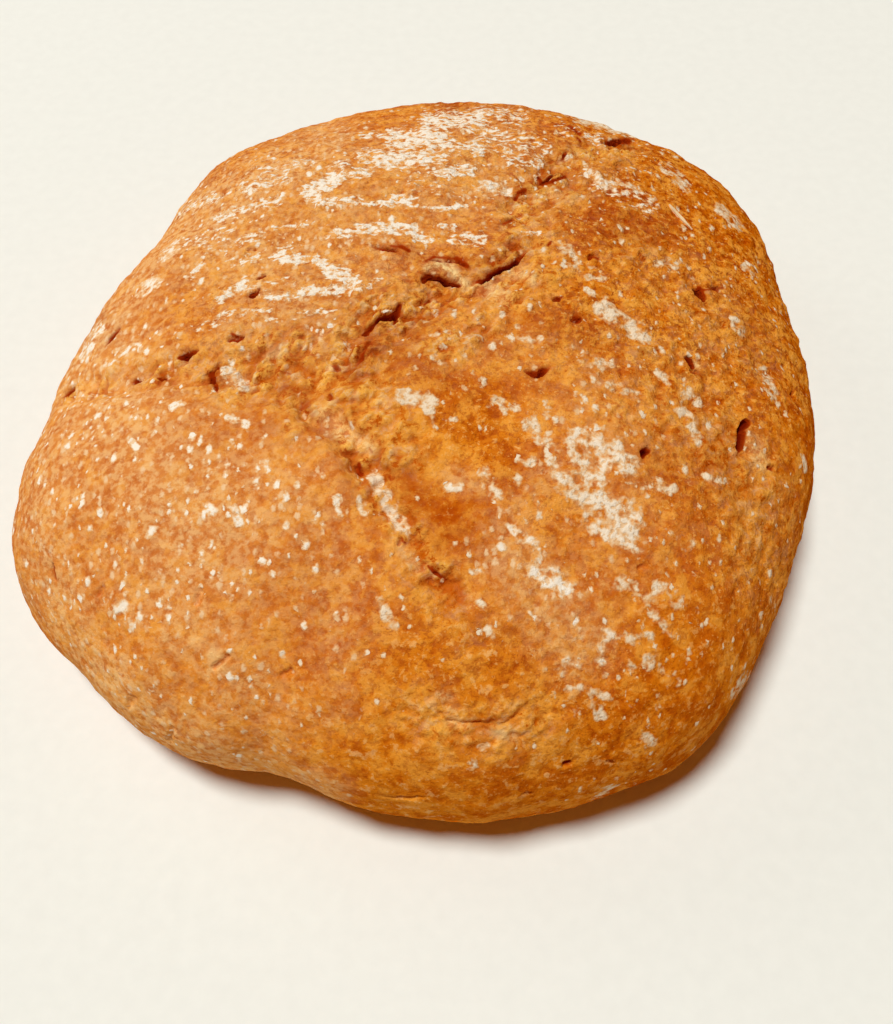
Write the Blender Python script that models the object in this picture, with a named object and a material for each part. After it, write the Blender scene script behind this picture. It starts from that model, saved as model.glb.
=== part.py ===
"""An einkorn sourdough loaf: a low, round hearth loaf whose crust has torn open across the top.

The loaf is one solid. A sphere is bent to a crown over an uneven outline, with its side tucked in
to a flat base. Swells, valleys, cracks and pits are then pressed into the crust along its normals.
Metres, +Z up, +X to the right of the loaf as it is seen from its front, at -Y.
"""

import math

import bmesh
import bpy
import numpy as np
from mathutils import Vector, noise

# The plain form
HEIGHT = 0.064
WIDEST_HEIGHT = 0.019
TUCK = 0.014
CROWN_POWER = 2.4
FOOT_ANGLE = math.radians(122)
SIDE_BELOW_FLOOR = 0.002

# Radius of the widest line by its direction in degrees, +X at 0 and +Y at 90
OUTLINE = {
    0: 0.1045, 15: 0.1065, 30: 0.1140, 45: 0.1200, 60: 0.1185, 75: 0.1155, 90: 0.1135,
    105: 0.1105, 118: 0.1075, 130: 0.1065, 140: 0.1010, 150: 0.0960, 160: 0.0960,
    170: 0.0970, 180: 0.1005, 190: 0.1050, 200: 0.1120, 212: 0.1155, 225: 0.1135,
    236: 0.1130, 244: 0.1120, 252: 0.1080, 262: 0.1105, 275: 0.1125, 290: 0.1140,
    305: 0.1145, 318: 0.1090, 330: 0.1045, 345: 0.1045,
}

# Where the side's edge is lifted off the floor: direction in degrees, spread, extra tuck
LIFTED_EDGE = (249, 9, 0.010)

# Swells of the crust: x, y, reach, height
SWELLS = (
    (-0.049, -0.057, 0.038, 0.0025),
    (0.001, -0.029, 0.013, 0.0015),
    (0.036, -0.047, 0.030, 0.0015),
    (-0.025, 0.027, 0.030, 0.0012),
    (0.005, -0.082, 0.025, 0.0010),
)

# Lumps all over the crust: size, height
LUMPS = ((0.034, 0.0016), (0.011, 0.0006))

# Valleys where the dough tore or folded: (depth, half width, roughness), plan points
VALLEYS = (
    (
        (0.0016, 0.0042, 0.0006),
        ((-0.090, -0.013), (-0.077, -0.017), (-0.066, -0.018), (-0.057, -0.016), (-0.045, -0.022)),
    ),
    (
        (0.0020, 0.0075, 0.0009),
        ((-0.045, -0.022), (-0.033, -0.024), (-0.023, -0.020), (-0.013, -0.013)),
    ),
    (
        (0.0022, 0.0055, 0.0009),
        (
            (-0.013, -0.013), (-0.005, -0.005), (0.001, 0.003), (0.010, 0.005), (0.019, 0.010),
            (0.024, 0.019),
        ),
    ),
    (
        (0.0020, 0.0065, 0.0008),
        (
            (0.024, 0.019), (0.025, 0.034), (0.031, 0.046), (0.041, 0.062), (0.051, 0.068),
            (0.058, 0.073),
        ),
    ),
    (
        (0.0018, 0.0042, 0.0006),
        (
            (-0.029, -0.029), (-0.022, -0.035), (-0.016, -0.043), (-0.011, -0.051),
            (-0.006, -0.060), (-0.001, -0.068), (0.005, -0.073),
        ),
    ),
    ((0.0007, 0.0045, 0.0002), ((-0.005, -0.097), (0.004, -0.098), (0.012, -0.100), (0.022, -0.098))),
)

# Ridges: the strand over the mouth of the tear, and crust edges that curl up: (height, half width)
RIDGES = (
    (
        (0.0008, 0.0011),
        (
            (-0.0012, 0.0106), (0.0003, 0.0118), (0.0025, 0.0122), (0.0044, 0.0113),
            (0.0062, 0.0101), (0.0079, 0.0087), (0.0092, 0.0068),
        ),
    ),
    ((0.0012, 0.0030), ((-0.036, -0.031), (-0.028, -0.038), (-0.0215, -0.045), (-0.017, -0.053))),
    ((0.0012, 0.0026), ((-0.010, -0.015), (-0.014, -0.021), (-0.016, -0.027))),
    ((0.0010, 0.0028), ((0.012, 0.013), (0.017, 0.0155), (0.021, 0.020))),
)

# Cracks: (depth, half width, height of the lips), plan points
CRACKS = (
    (
        (0.0034, 0.0011, 0.0),
        (
            (-0.0018, 0.0060), (-0.0010, 0.0078), (0.0005, 0.0086), (0.0026, 0.0087),
            (0.0046, 0.0081), (0.0064, 0.0073), (0.0080, 0.0064),
        ),
    ),
    (
        (0.0017, 0.0006, 0.0),
        (
            (-0.0011, 0.0129), (0.0001, 0.0139), (0.0016, 0.0145), (0.0032, 0.0141),
            (0.0055, 0.0139), (0.0076, 0.0136), (0.0092, 0.0127), (0.0098, 0.0116),
        ),
    ),
    (
        (0.0030, 0.0010, 0.0002),
        (
            (0.0113, 0.0087), (0.0134, 0.0087), (0.0150, 0.0096), (0.0165, 0.0107), (0.0182, 0.0121),
            (0.0200, 0.0131), (0.0218, 0.0146), (0.0234, 0.0167), (0.0249, 0.0183),
        ),
    ),
    (
        (0.0022, 0.0008, 0.0004),
        ((-0.0156, 0.0183), (-0.0127, 0.0181), (-0.0095, 0.0169), (-0.0063, 0.0155), (-0.0043, 0.0149)),
    ),
    (
        (0.0022, 0.0009, 0.0004),
        (
            (-0.0064, -0.0012), (-0.0075, -0.0028), (-0.0085, -0.0040), (-0.0099, -0.0048),
            (-0.0117, -0.0064), (-0.0131, -0.0082), (-0.0148, -0.0099), (-0.0163, -0.0107),
        ),
    ),
    ((0.0024, 0.0009, 0.0003), ((-0.0084, -0.0042), (-0.0079, -0.0054), (-0.0084, -0.0068))),
    ((0.0014, 0.0008, 0.0003), ((0.0001, 0.0024), (-0.0011, 0.0013), (-0.0025, -0.0003), (-0.0037, -0.0013))),
    (
        (0.0007, 0.0018, 0.0005),
        (
            (-0.0216, -0.0316), (-0.0198, -0.0349), (-0.0169, -0.0381), (-0.0146, -0.0401),
            (-0.0127, -0.0431), (-0.0113, -0.0466), (-0.0101, -0.0504), (-0.0086, -0.0539),
            (-0.0068, -0.0574), (-0.0051, -0.0604), (-0.0028, -0.0634),
        ),
    ),
    ((0.0018, 0.0008, 0.0003), ((0.0000, -0.0690), (0.0012, -0.0702), (0.0041, -0.0721))),
    ((0.0022, 0.0011, 0.0004), ((0.022, 0.039), (0.026, 0.043))),
    ((0.0032, 0.0013, 0.0006), ((0.030, 0.0475), (0.034, 0.050), (0.0375, 0.052))),
    ((0.0020, 0.0011, 0.0003), ((0.0365, 0.0595), (0.040, 0.066))),
    ((0.0042, 0.0018, 0.0006), ((0.0505, 0.072), (0.055, 0.075), (0.0595, 0.078))),
    ((0.0020, 0.0011, 0.0003), ((0.040, 0.078), (0.0435, 0.073))),
    ((0.0028, 0.0012, 0.0003), ((0.023, -0.021), (0.0255, -0.022), (0.0285, -0.020))),
    ((0.0022, 0.0013, 0.0005), ((-0.050, -0.0165), (-0.0515, -0.019), (-0.049, -0.025))),
    ((0.0028, 0.0013, 0.0003), ((-0.061, -0.0135), (-0.059, -0.013), (-0.0555, -0.012))),
    ((0.0026, 0.0012, 0.0003), ((-0.073, -0.016), (-0.0695, -0.017))),
    ((0.0026, 0.0012, 0.0003), ((-0.066, -0.017), (-0.0635, -0.018))),
    ((0.0030, 0.0015, 0.0004), ((-0.0825, -0.001), (-0.081, 0.0015), (-0.080, 0.004))),
    ((0.0024, 0.0012, 0.0003), ((-0.094, -0.0115), (-0.091, -0.0095))),
    ((0.0014, 0.0012, 0.0008), ((-0.017, -0.021), (-0.0145, -0.0155), (-0.0125, -0.0125))),
    (
        (0.0008, 0.0007, 0.0),
        ((0.0015, -0.0965), (0.0045, -0.0985), (0.009, -0.099), (0.0155, -0.0995), (0.0195, -0.098)),
    ),
    ((0.0007, 0.0008, 0.0002), ((-0.0095, -0.110), (-0.005, -0.1105), (0.0, -0.1105))),
)

# Pits and gas holes: x, y, length, direction of the length in degrees, half width, depth
PITS = (
    (0.0690, 0.0098, 0.0022, 115, 0.0013, 0.0038),
    (0.0740, 0.0130, 0.0020, 10, 0.0009, 0.0014),
    (0.0742, -0.0325, 0.0044, 75, 0.0013, 0.0034),
    (0.0757, -0.0283, 0.0026, 48, 0.0009, 0.0026),
    (0.0640, -0.0130, 0.0018, 100, 0.0012, 0.0022),
    (0.0645, -0.0160, 0.0010, 0, 0.0009, 0.0012),
    (0.0815, -0.0375, 0.0014, 20, 0.0008, 0.0013),
    (0.0920, -0.0135, 0.0030, 80, 0.0008, 0.0012),
    (0.0490, -0.0415, 0.0010, 40, 0.0011, 0.0026),
    (0.0412, 0.0158, 0.0014, 30, 0.0007, 0.0014),
    (0.0540, 0.0180, 0.0014, 120, 0.0009, 0.0012),
    (0.0358, -0.0048, 0.0012, 20, 0.0010, 0.0014),
    (0.0318, 0.0006, 0.0016, 10, 0.0006, 0.0015),
    (0.0305, 0.0200, 0.0010, 0, 0.0006, 0.0012),
    (0.0205, 0.0290, 0.0024, 40, 0.0009, 0.0012),
    (0.0655, 0.0645, 0.0012, 90, 0.0010, 0.0012),
    (-0.0460, -0.0100, 0.0036, 15, 0.0009, 0.0014),
    (-0.0428, 0.0045, 0.0020, 35, 0.0010, 0.0022),
    (-0.0420, 0.0100, 0.0010, 60, 0.0010, 0.0014),
    (-0.0455, 0.0205, 0.0010, 0, 0.0009, 0.0012),
    (-0.0645, 0.0245, 0.0012, 60, 0.0010, 0.0014),
    (-0.0560, 0.0490, 0.0030, 70, 0.0009, 0.0010),
    (-0.0850, -0.0625, 0.0022, 95, 0.0007, 0.0018),
    (-0.0720, -0.0690, 0.0016, 50, 0.0010, 0.0009),
    (-0.0435, -0.0865, 0.0034, 35, 0.0008, 0.0011),
    (-0.0655, -0.0895, 0.0018, 20, 0.0009, 0.0008),
    (-0.0570, -0.0960, 0.0026, 10, 0.0008, 0.0008),
    (-0.0295, -0.0890, 0.0020, 20, 0.0009, 0.0009),
    (-0.0485, -0.0740, 0.0020, 80, 0.0010, 0.0010),
    (0.0305, -0.1055, 0.0010, 10, 0.0008, 0.0014),
    (0.0400, -0.1040, 0.0012, 0, 0.0007, 0.0009),
    (0.0220, -0.1100, 0.0014, 0, 0.0008, 0.0010),
    (0.0780, -0.0715, 0.0030, 60, 0.0009, 0.0010),
    (0.0470, -0.0680, 0.0012, 30, 0.0009, 0.0011),
    (-0.0215, -0.0195, 0.0020, 120, 0.0010, 0.0013),
    (-0.0220, -0.0285, 0.0010, 60, 0.0008, 0.0013),
    (-0.0335, -0.0205, 0.0020, 30, 0.0009, 0.0011),
    (-0.0152, -0.0467, 0.0018, 110, 0.0009, 0.0020),
    (-0.0078, -0.0491, 0.0014, 110, 0.0008, 0.0014),
    (-0.0053, -0.0639, 0.0010, 60, 0.0008, 0.0012),
)

# Fineness of the mesh: sphere divisions, then the reach from a crack or pit of each halving
SPHERE_DIVISIONS = 5
FINER_WITHIN = (0.0045, 0.0020, 0.0007)

# How valleys and cracks wander to either side of their points: size, distance
VALLEY_WANDER = (0.0120, 0.0028)
CRACK_WANDER = (0.0045, 0.0007)
ROUGHNESS_SIZE = 0.0042
VALLEY_EDGE = 3

# Cracks thin out over this length to the least share of their depth and of their width
CRACK_END = 0.0040
LEAST_DEPTH = 0.25
LEAST_WIDTH = 0.45
CRACK_ROUNDING = 1.6
LIP_DISTANCE = 1.7

# Repeatable noise: where each seed's noise starts, and the seeds
SEED_SHIFT = (7.3, 3.1, 5.7)
WANDER_SEEDS = (11, 12, 13)
ROUGHNESS_SEED = 3
PROFILE_STEPS = 400

CRUST_COLOUR = (0.56, 0.20, 0.035, 1.0)
CRUST_ROUGHNESS = 0.62


def outline_radius(direction):
    """Radius of the widest line: a smooth closed curve through OUTLINE."""
    knots = np.radians(list(OUTLINE))
    radii = np.array(list(OUTLINE.values()))
    turn = 2 * math.pi
    knots = np.concatenate([knots[-1:] - turn, knots, knots[:2] + turn])
    radii = np.concatenate([radii[-1:], radii, radii[:2]])
    direction = np.mod(direction, turn)
    i = np.clip(np.searchsorted(knots, direction, side="right") - 1, 1, len(knots) - 3)
    step = knots[i + 1] - knots[i]
    t = (direction - knots[i]) / step
    slope_in = (radii[i + 1] - radii[i - 1]) / (knots[i + 1] - knots[i - 1]) * step
    slope_out = (radii[i + 2] - radii[i]) / (knots[i + 2] - knots[i]) * step
    return (
        (2 * t**3 - 3 * t**2 + 1) * radii[i]
        + (t**3 - 2 * t**2 + t) * slope_in
        + (3 * t**2 - 2 * t**3) * radii[i + 1]
        + (t**3 - t**2) * slope_out
    )


def tuck_depth(direction):
    """How far the side draws in below the widest line."""
    middle, spread, extra = LIFTED_EDGE
    away = np.mod(np.degrees(direction) - middle + 180, 360) - 180
    return TUCK + extra * np.exp(-((away / spread) ** 2))


def side_profile():
    """The side from the crown down: length run, share of the radius, share of the tuck, height."""
    crown = np.linspace(0, math.pi / 2, PROFILE_STEPS)
    share = np.sin(crown) ** (2 / CROWN_POWER)
    height = WIDEST_HEIGHT + (HEIGHT - WIDEST_HEIGHT) * np.cos(crown) ** (2 / CROWN_POWER)
    under = np.linspace(0, math.pi / 2, PROFILE_STEPS)[1:]
    tuck = 1 - np.cos(under)
    drop = WIDEST_HEIGHT + SIDE_BELOW_FLOOR
    share = np.concatenate([share, np.ones(len(under))])
    tuck = np.concatenate([np.zeros(len(crown)), tuck])
    height = np.concatenate([height, WIDEST_HEIGHT - drop * np.sin(under)])
    across = np.mean(list(OUTLINE.values())) * share - TUCK * tuck
    run = np.concatenate([[0], np.cumsum(np.hypot(np.diff(across), np.diff(height)))])
    return run / run[-1], share, tuck, height


def plain_form(unit):
    """Points of the plain loaf for points of a unit sphere."""
    direction = np.arctan2(unit[:, 1], unit[:, 0])
    down = np.arccos(np.clip(unit[:, 2], -1, 1)) / FOOT_ANGLE
    run, share, tuck, height = side_profile()
    radius = outline_radius(direction) * np.interp(down, run, share)
    radius = radius - tuck_depth(direction) * np.interp(down, run, tuck)
    level = np.interp(down, run, height)
    beyond = np.clip(down - 1, 0, None)
    radius = radius * (1 - beyond)
    level = level - beyond * HEIGHT
    return np.column_stack([radius * np.cos(direction), radius * np.sin(direction), level])


def on_crown(plan):
    """The points of the plain crown over plan points."""
    plan = np.array(plan, dtype=float).reshape(-1, 2)
    radius = outline_radius(np.arctan2(plan[:, 1], plan[:, 0]))
    share = np.clip(np.hypot(plan[:, 0], plan[:, 1]) / radius, 0, 1)
    angle = np.arcsin(share ** (CROWN_POWER / 2))
    rise = (HEIGHT - WIDEST_HEIGHT) * np.cos(angle) ** (2 / CROWN_POWER)
    return np.column_stack([plan, WIDEST_HEIGHT + rise])


def to_line(points, line):
    """Distance to a line of points, and how far along it the nearest place is from its nearer end."""
    nearest = np.full(len(points), np.inf)
    along = np.zeros(len(points))
    lengths = np.linalg.norm(np.diff(line, axis=0), axis=1)
    start = np.concatenate([[0], np.cumsum(lengths)])
    for i, length in enumerate(lengths):
        step = line[i + 1] - line[i]
        t = np.clip((points - line[i]) @ step / (length * length), 0, 1)
        distance = np.linalg.norm(points - line[i] - t[:, None] * step, axis=1)
        closer = distance < nearest
        nearest[closer] = distance[closer]
        along[closer] = (start[i] + t * length)[closer]
    return nearest, np.minimum(along, start[-1] - along)


def pit_line(x, y, length, turn):
    """The two ends of a pit's length."""
    half = length / 2
    reach = np.array([math.cos(math.radians(turn)), math.sin(math.radians(turn))]) * half
    return on_crown([np.array([x, y]) - reach, np.array([x, y]) + reach])


def noise_at(points, size, seed):
    """Smooth noise from -1 to 1 whose bumps are about this size."""
    shift = seed * Vector(SEED_SHIFT)
    return np.array([noise.noise(Vector(p) / size + shift) for p in points])


def wandered(points, size, distance):
    """The points moved about a little, so that what is measured from them has uneven edges."""
    moves = [noise_at(points, size, seed) for seed in WANDER_SEEDS]
    return points + distance * np.column_stack(moves)


def relief(points):
    """How far the crust stands out at points of the plain form."""
    out = np.zeros(len(points))
    for seed, (size, height) in enumerate(LUMPS):
        out += height * noise_at(points, size, seed)
    for x, y, reach, height in SWELLS:
        away = np.linalg.norm(points - on_crown((x, y)), axis=1)
        out += height * np.exp(-((away / reach) ** 2))
    moved = wandered(points, *VALLEY_WANDER)
    rough = noise_at(points, ROUGHNESS_SIZE, ROUGHNESS_SEED)
    dip = np.zeros(len(points))
    for (depth, half_width, roughness), plan in VALLEYS:
        away, _ = to_line(moved, on_crown(plan))
        inside = np.exp(-((away / half_width) ** VALLEY_EDGE))
        dip = np.maximum(dip, inside * (depth - roughness * rough))
    out -= dip
    moved = wandered(points, *CRACK_WANDER)
    for (height, half_width), plan in RIDGES:
        away, _ = to_line(moved, on_crown(plan))
        out += height * np.exp(-((away / half_width) ** 2))
    for (depth, half_width, lip), plan in CRACKS:
        away, from_end = to_line(moved, on_crown(plan))
        ending = np.sqrt(np.clip(from_end / CRACK_END, LEAST_DEPTH**2, 1))
        width = half_width * (LEAST_WIDTH + (1 - LEAST_WIDTH) * ending)
        out -= depth * ending * np.clip(1 - (away / width) ** CRACK_ROUNDING, 0, 1)
        out += lip * ending * np.exp(-(((away / half_width) - LIP_DISTANCE) ** 2))
    for x, y, length, turn, half_width, depth in PITS:
        away, _ = to_line(moved, pit_line(x, y, length, turn))
        out -= depth * np.clip(1 - (away / half_width) ** 2, 0, 1)
    return out


def detail_lines():
    """The lines round which the mesh is finer."""
    lines = [on_crown(plan) for _, plan in CRACKS]
    return lines + [pit_line(x, y, length, turn) for x, y, length, turn, _, _ in PITS]


def make_finer(bm, reach):
    """Halves the edges of the faces that lie within reach of a crack or a pit."""
    middles = np.array([face.calc_center_median().normalized()[:] for face in bm.faces])
    places = plain_form(middles)
    near = np.zeros(len(places), dtype=bool)
    for line in detail_lines():
        near |= to_line(places, line)[0] < reach
    edges = {edge for face, inside in zip(bm.faces, near) if inside for edge in face.edges}
    edges = sorted(edges, key=lambda edge: edge.index)
    bmesh.ops.subdivide_edges(bm, edges=edges, cuts=1, use_grid_fill=True)
    bmesh.ops.triangulate(bm, faces=bm.faces[:])
    for vert in bm.verts:
        vert.co.normalize()
    bm.verts.index_update()
    bm.edges.index_update()


def cut_flat(bm):
    """Cuts the form off at the floor and closes the flat base."""
    geometry = bm.verts[:] + bm.edges[:] + bm.faces[:]
    bmesh.ops.bisect_plane(
        bm, geom=geometry, dist=1e-6, plane_co=(0, 0, 0), plane_no=(0, 0, -1), clear_outer=True
    )
    rim = [edge for edge in bm.edges if edge.is_boundary]
    bmesh.ops.contextual_create(bm, geom=rim)
    bmesh.ops.triangulate(bm, faces=bm.faces[:])
    bmesh.ops.recalc_face_normals(bm, faces=bm.faces[:])


def loaf_mesh():
    """The loaf's mesh: plain form, relief along the normals, flat base."""
    bm = bmesh.new()
    bmesh.ops.create_icosphere(bm, subdivisions=SPHERE_DIVISIONS, radius=1)
    for reach in FINER_WITHIN:
        make_finer(bm, reach)
    plain = plain_form(np.array([vert.co[:] for vert in bm.verts]))
    for vert, place in zip(bm.verts, plain):
        vert.co = place
    bm.normal_update()
    normals = np.array([vert.normal[:] for vert in bm.verts])
    shaped = plain + normals * relief(plain)[:, None]
    for vert, place in zip(bm.verts, shaped):
        vert.co = place
    cut_flat(bm)
    mesh = bpy.data.meshes.new("loaf")
    bm.to_mesh(mesh)
    bm.free()
    return mesh


def crust_material():
    material = bpy.data.materials.new("crust")
    material.use_nodes = True
    shader = material.node_tree.nodes["Principled BSDF"]
    shader.inputs["Base Color"].default_value = CRUST_COLOUR
    shader.inputs["Roughness"].default_value = CRUST_ROUGHNESS
    shader.inputs["Metallic"].default_value = 0.0
    material.diffuse_color = CRUST_COLOUR
    return material


def main():
    for old in list(bpy.data.objects):
        bpy.data.objects.remove(old, do_unlink=True)
    collection = bpy.data.collections.new("sourdough loaf")
    bpy.context.scene.collection.children.link(collection)
    mesh = loaf_mesh()
    mesh.materials.append(crust_material())
    mesh.shade_smooth()
    collection.objects.link(bpy.data.objects.new("loaf", mesh))


main()
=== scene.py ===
"""Dresses an einkorn sourdough loaf: its torn, pitted and floured crust, a husk, floor, light, camera.

The crust is a sphere bent to the loaf's plain form. Valleys, cracks, ridges, pits and grain are then
pressed into it, and its colours follow the same places. Metres, +Z up, the loaf's front at -Y.
"""

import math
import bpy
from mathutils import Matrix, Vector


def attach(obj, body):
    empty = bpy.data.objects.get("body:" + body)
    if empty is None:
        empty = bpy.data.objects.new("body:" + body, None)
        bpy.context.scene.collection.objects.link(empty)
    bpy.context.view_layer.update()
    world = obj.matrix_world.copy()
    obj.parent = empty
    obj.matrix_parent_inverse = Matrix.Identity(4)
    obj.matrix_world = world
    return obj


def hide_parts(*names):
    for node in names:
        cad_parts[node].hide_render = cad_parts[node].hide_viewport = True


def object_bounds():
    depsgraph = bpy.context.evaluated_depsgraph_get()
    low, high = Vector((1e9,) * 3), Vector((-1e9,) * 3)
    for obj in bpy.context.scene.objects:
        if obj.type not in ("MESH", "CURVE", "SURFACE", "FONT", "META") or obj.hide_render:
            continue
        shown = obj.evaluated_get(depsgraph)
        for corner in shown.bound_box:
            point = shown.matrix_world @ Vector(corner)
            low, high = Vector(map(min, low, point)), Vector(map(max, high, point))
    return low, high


bl_info = {
    "name": "Sourdough loaf",
    "version": (1, 0, 0),
    "blender": (4, 5, 0),
    "location": "View3D > Sidebar > Loaf",
    "description": "Builds a round sourdough loaf with a torn, flour-dusted crust",
    "category": "Add Mesh",
}

import bmesh
import bpy
import numpy as np
from bpy.props import FloatProperty, FloatVectorProperty, IntProperty, PointerProperty
from mathutils import Vector, noise

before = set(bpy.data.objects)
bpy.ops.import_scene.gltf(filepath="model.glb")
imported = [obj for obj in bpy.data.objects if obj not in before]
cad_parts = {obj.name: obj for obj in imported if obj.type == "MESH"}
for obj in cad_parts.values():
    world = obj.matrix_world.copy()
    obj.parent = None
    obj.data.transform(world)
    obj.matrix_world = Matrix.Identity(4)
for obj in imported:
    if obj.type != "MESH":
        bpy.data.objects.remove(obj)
CAD_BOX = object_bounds()


def metres(sizes):
    """One size or nested sizes, given in millimetres, as metres."""
    if isinstance(sizes, (int, float)):
        return sizes / 1000
    return tuple(metres(size) for size in sizes)


# ---------------------------------------------------------------- the loaf's form
FOOT_ANGLE = math.radians(122)
SIDE_BELOW_FLOOR = 0.002
PROFILE_STEPS = 400

# Radius in millimetres of the widest line, by its direction in degrees: +X at 0 and +Y at 90
OUTLINE = {
    0: 104.5, 15: 106.5, 30: 114, 45: 120, 60: 118.5, 75: 115.5, 90: 113.5, 105: 110.5, 118: 107.5,
    130: 106.5, 140: 101, 150: 96, 160: 96, 170: 97, 180: 100.5, 190: 105, 200: 112, 212: 115.5,
    225: 113.5, 236: 113, 244: 112, 252: 108, 262: 110.5, 275: 112.5, 290: 114, 305: 114.5, 318: 109,
    330: 104.5, 345: 104.5,
}

# Where the side's edge is lifted off the floor: direction in degrees, spread, extra tuck
LIFTED_EDGE = (249, 9, 0.010)

# Swells of the crust, in millimetres: x, y, reach, height
SWELLS = metres((
    (-49, -57, 38, 2.5), (1, -29, 13, 1.5), (36, -47, 30, 1.5), (-25, 27, 30, 1.2), (5, -82, 25, 1),
))

# Lumps all over the crust: size, height
LUMPS = ((0.034, 0.0016), (0.011, 0.0006))

# Valleys where the dough tore or folded, in millimetres: (depth, half width, roughness), plan points
VALLEYS = metres((
    ((1.6, 4.2, 0.6), ((-90, -13), (-77, -17), (-66, -18), (-57, -16), (-45, -22))),
    ((2, 7.5, 0.9), ((-45, -22), (-33, -24), (-23, -20), (-13, -13))),
    ((2.2, 5.5, 0.9), ((-13, -13), (-5, -5), (1, 3), (10, 5), (19, 10), (24, 19))),
    ((1.4, 6.5, 0.8), ((24, 19), (25, 34), (31, 46), (41, 62), (51, 68), (58, 73))),
    ((1.8, 4.2, 0.6), ((-29, -29), (-22, -35), (-16, -43), (-11, -51), (-6, -60), (-1, -68), (5, -73))),
    ((0.5, 4.5, 0.1), ((-5, -97), (4, -98), (12, -100), (22, -98))),
))

# Ridges, in millimetres: (height, half width), plan points. The first is the strand of dough over the
# mouth of the tear, the others are crust edges that curl up
RIDGES = metres((
    ((0.8, 1.1), (
        (-1.2, 10.6), (0.3, 11.8), (2.5, 12.2), (4.4, 11.3), (6.2, 10.1), (7.9, 8.7), (9.2, 6.8),
    )),
    ((1.2, 3), ((-36, -31), (-28, -38), (-21.5, -45), (-17, -53))),
    ((1.2, 2.6), ((-10, -15), (-14, -21), (-16, -27))),
    ((1, 2.8), ((12, 13), (17, 15.5), (21, 20))),
))

# Cracks, in millimetres: (depth, half width, height of the lips), plan points
CRACKS = metres((
    ((2.8, 1.1, 0), ((-1.8, 6), (-1, 7.8), (0.5, 8.6), (2.6, 8.7), (4.6, 8.1), (6.4, 7.3), (8, 6.4))),
    ((1.7, 0.6, 0), (
        (-1.1, 12.9), (0.1, 13.9), (1.6, 14.5), (3.2, 14.1), (5.5, 13.9), (7.6, 13.6), (9.2, 12.7),
        (9.8, 11.6),
    )),
    ((2.5, 0.9, 0.2), (
        (11.3, 8.7), (13.4, 8.7), (15, 9.6), (16.5, 10.7), (18.2, 12.1), (20, 13.1), (21.8, 14.6),
        (23.4, 16.7), (24.9, 18.3),
    )),
    ((1.6, 0.6, 0.2), ((-15.6, 18.3), (-12.7, 18.1), (-9.5, 16.9), (-6.3, 15.5), (-4.3, 14.9))),
    ((2.2, 0.9, 0.4), (
        (-6.4, -1.2), (-7.5, -2.8), (-8.5, -4), (-9.9, -4.8), (-11.7, -6.4), (-13.1, -8.2),
        (-14.8, -9.9), (-16.3, -10.7),
    )),
    ((2.4, 0.9, 0.3), ((-8.4, -4.2), (-7.9, -5.4), (-8.4, -6.8))),
    ((1.4, 0.8, 0.3), ((0.1, 2.4), (-1.1, 1.3), (-2.5, -0.3), (-3.7, -1.3))),
    ((0.7, 1.8, 0.5), (
        (-21.6, -31.6), (-19.8, -34.9), (-16.9, -38.1), (-14.6, -40.1), (-12.7, -43.1), (-11.3, -46.6),
        (-10.1, -50.4), (-8.6, -53.9), (-6.8, -57.4), (-5.1, -60.4), (-2.8, -63.4),
    )),
    ((1.8, 0.8, 0.3), ((0, -69), (1.2, -70.2), (4.1, -72.1))),
    ((2.2, 0.8, 0.4), ((22, 39), (26, 43))),
    ((3.2, 1.3, 0.6), ((30, 47.5), (34, 50), (37.5, 52))),
    ((2, 0.8, 0.3), ((36.5, 59.5), (40, 66))),
    ((4.2, 1.8, 0.6), ((50.5, 72), (55, 75), (59.5, 78))),
    ((2, 1.1, 0.3), ((40, 78), (43.5, 73))),
    ((2.8, 1.2, 0.3), ((23, -21), (25.5, -22), (28.5, -20))),
    ((2.2, 1, 0.4), ((-50, -16.5), (-51.5, -19), (-49, -25))),
    ((2.6, 1, 0.3), ((-61, -13.5), (-59, -13), (-55.5, -12))),
    ((2.6, 1.2, 0.3), ((-73, -16), (-69.5, -17))),
    ((2.6, 1.2, 0.3), ((-66, -17), (-63.5, -18))),
    ((3, 1.5, 0.4), ((-82.5, -1), (-81, 1.5), (-80, 4))),
    ((2.4, 1.2, 0.3), ((-94, -11.5), (-91, -9.5))),
    ((1.4, 1.2, 0.8), ((-17, -21), (-14.5, -15.5), (-12.5, -12.5))),
    ((0.8, 0.7, 0), ((1.5, -96.5), (4.5, -98.5), (9, -99), (15.5, -99.5), (19.5, -98))),
    ((0.7, 0.8, 0.2), ((-9.5, -110), (-5, -110.5), (0, -110.5))),
))

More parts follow.
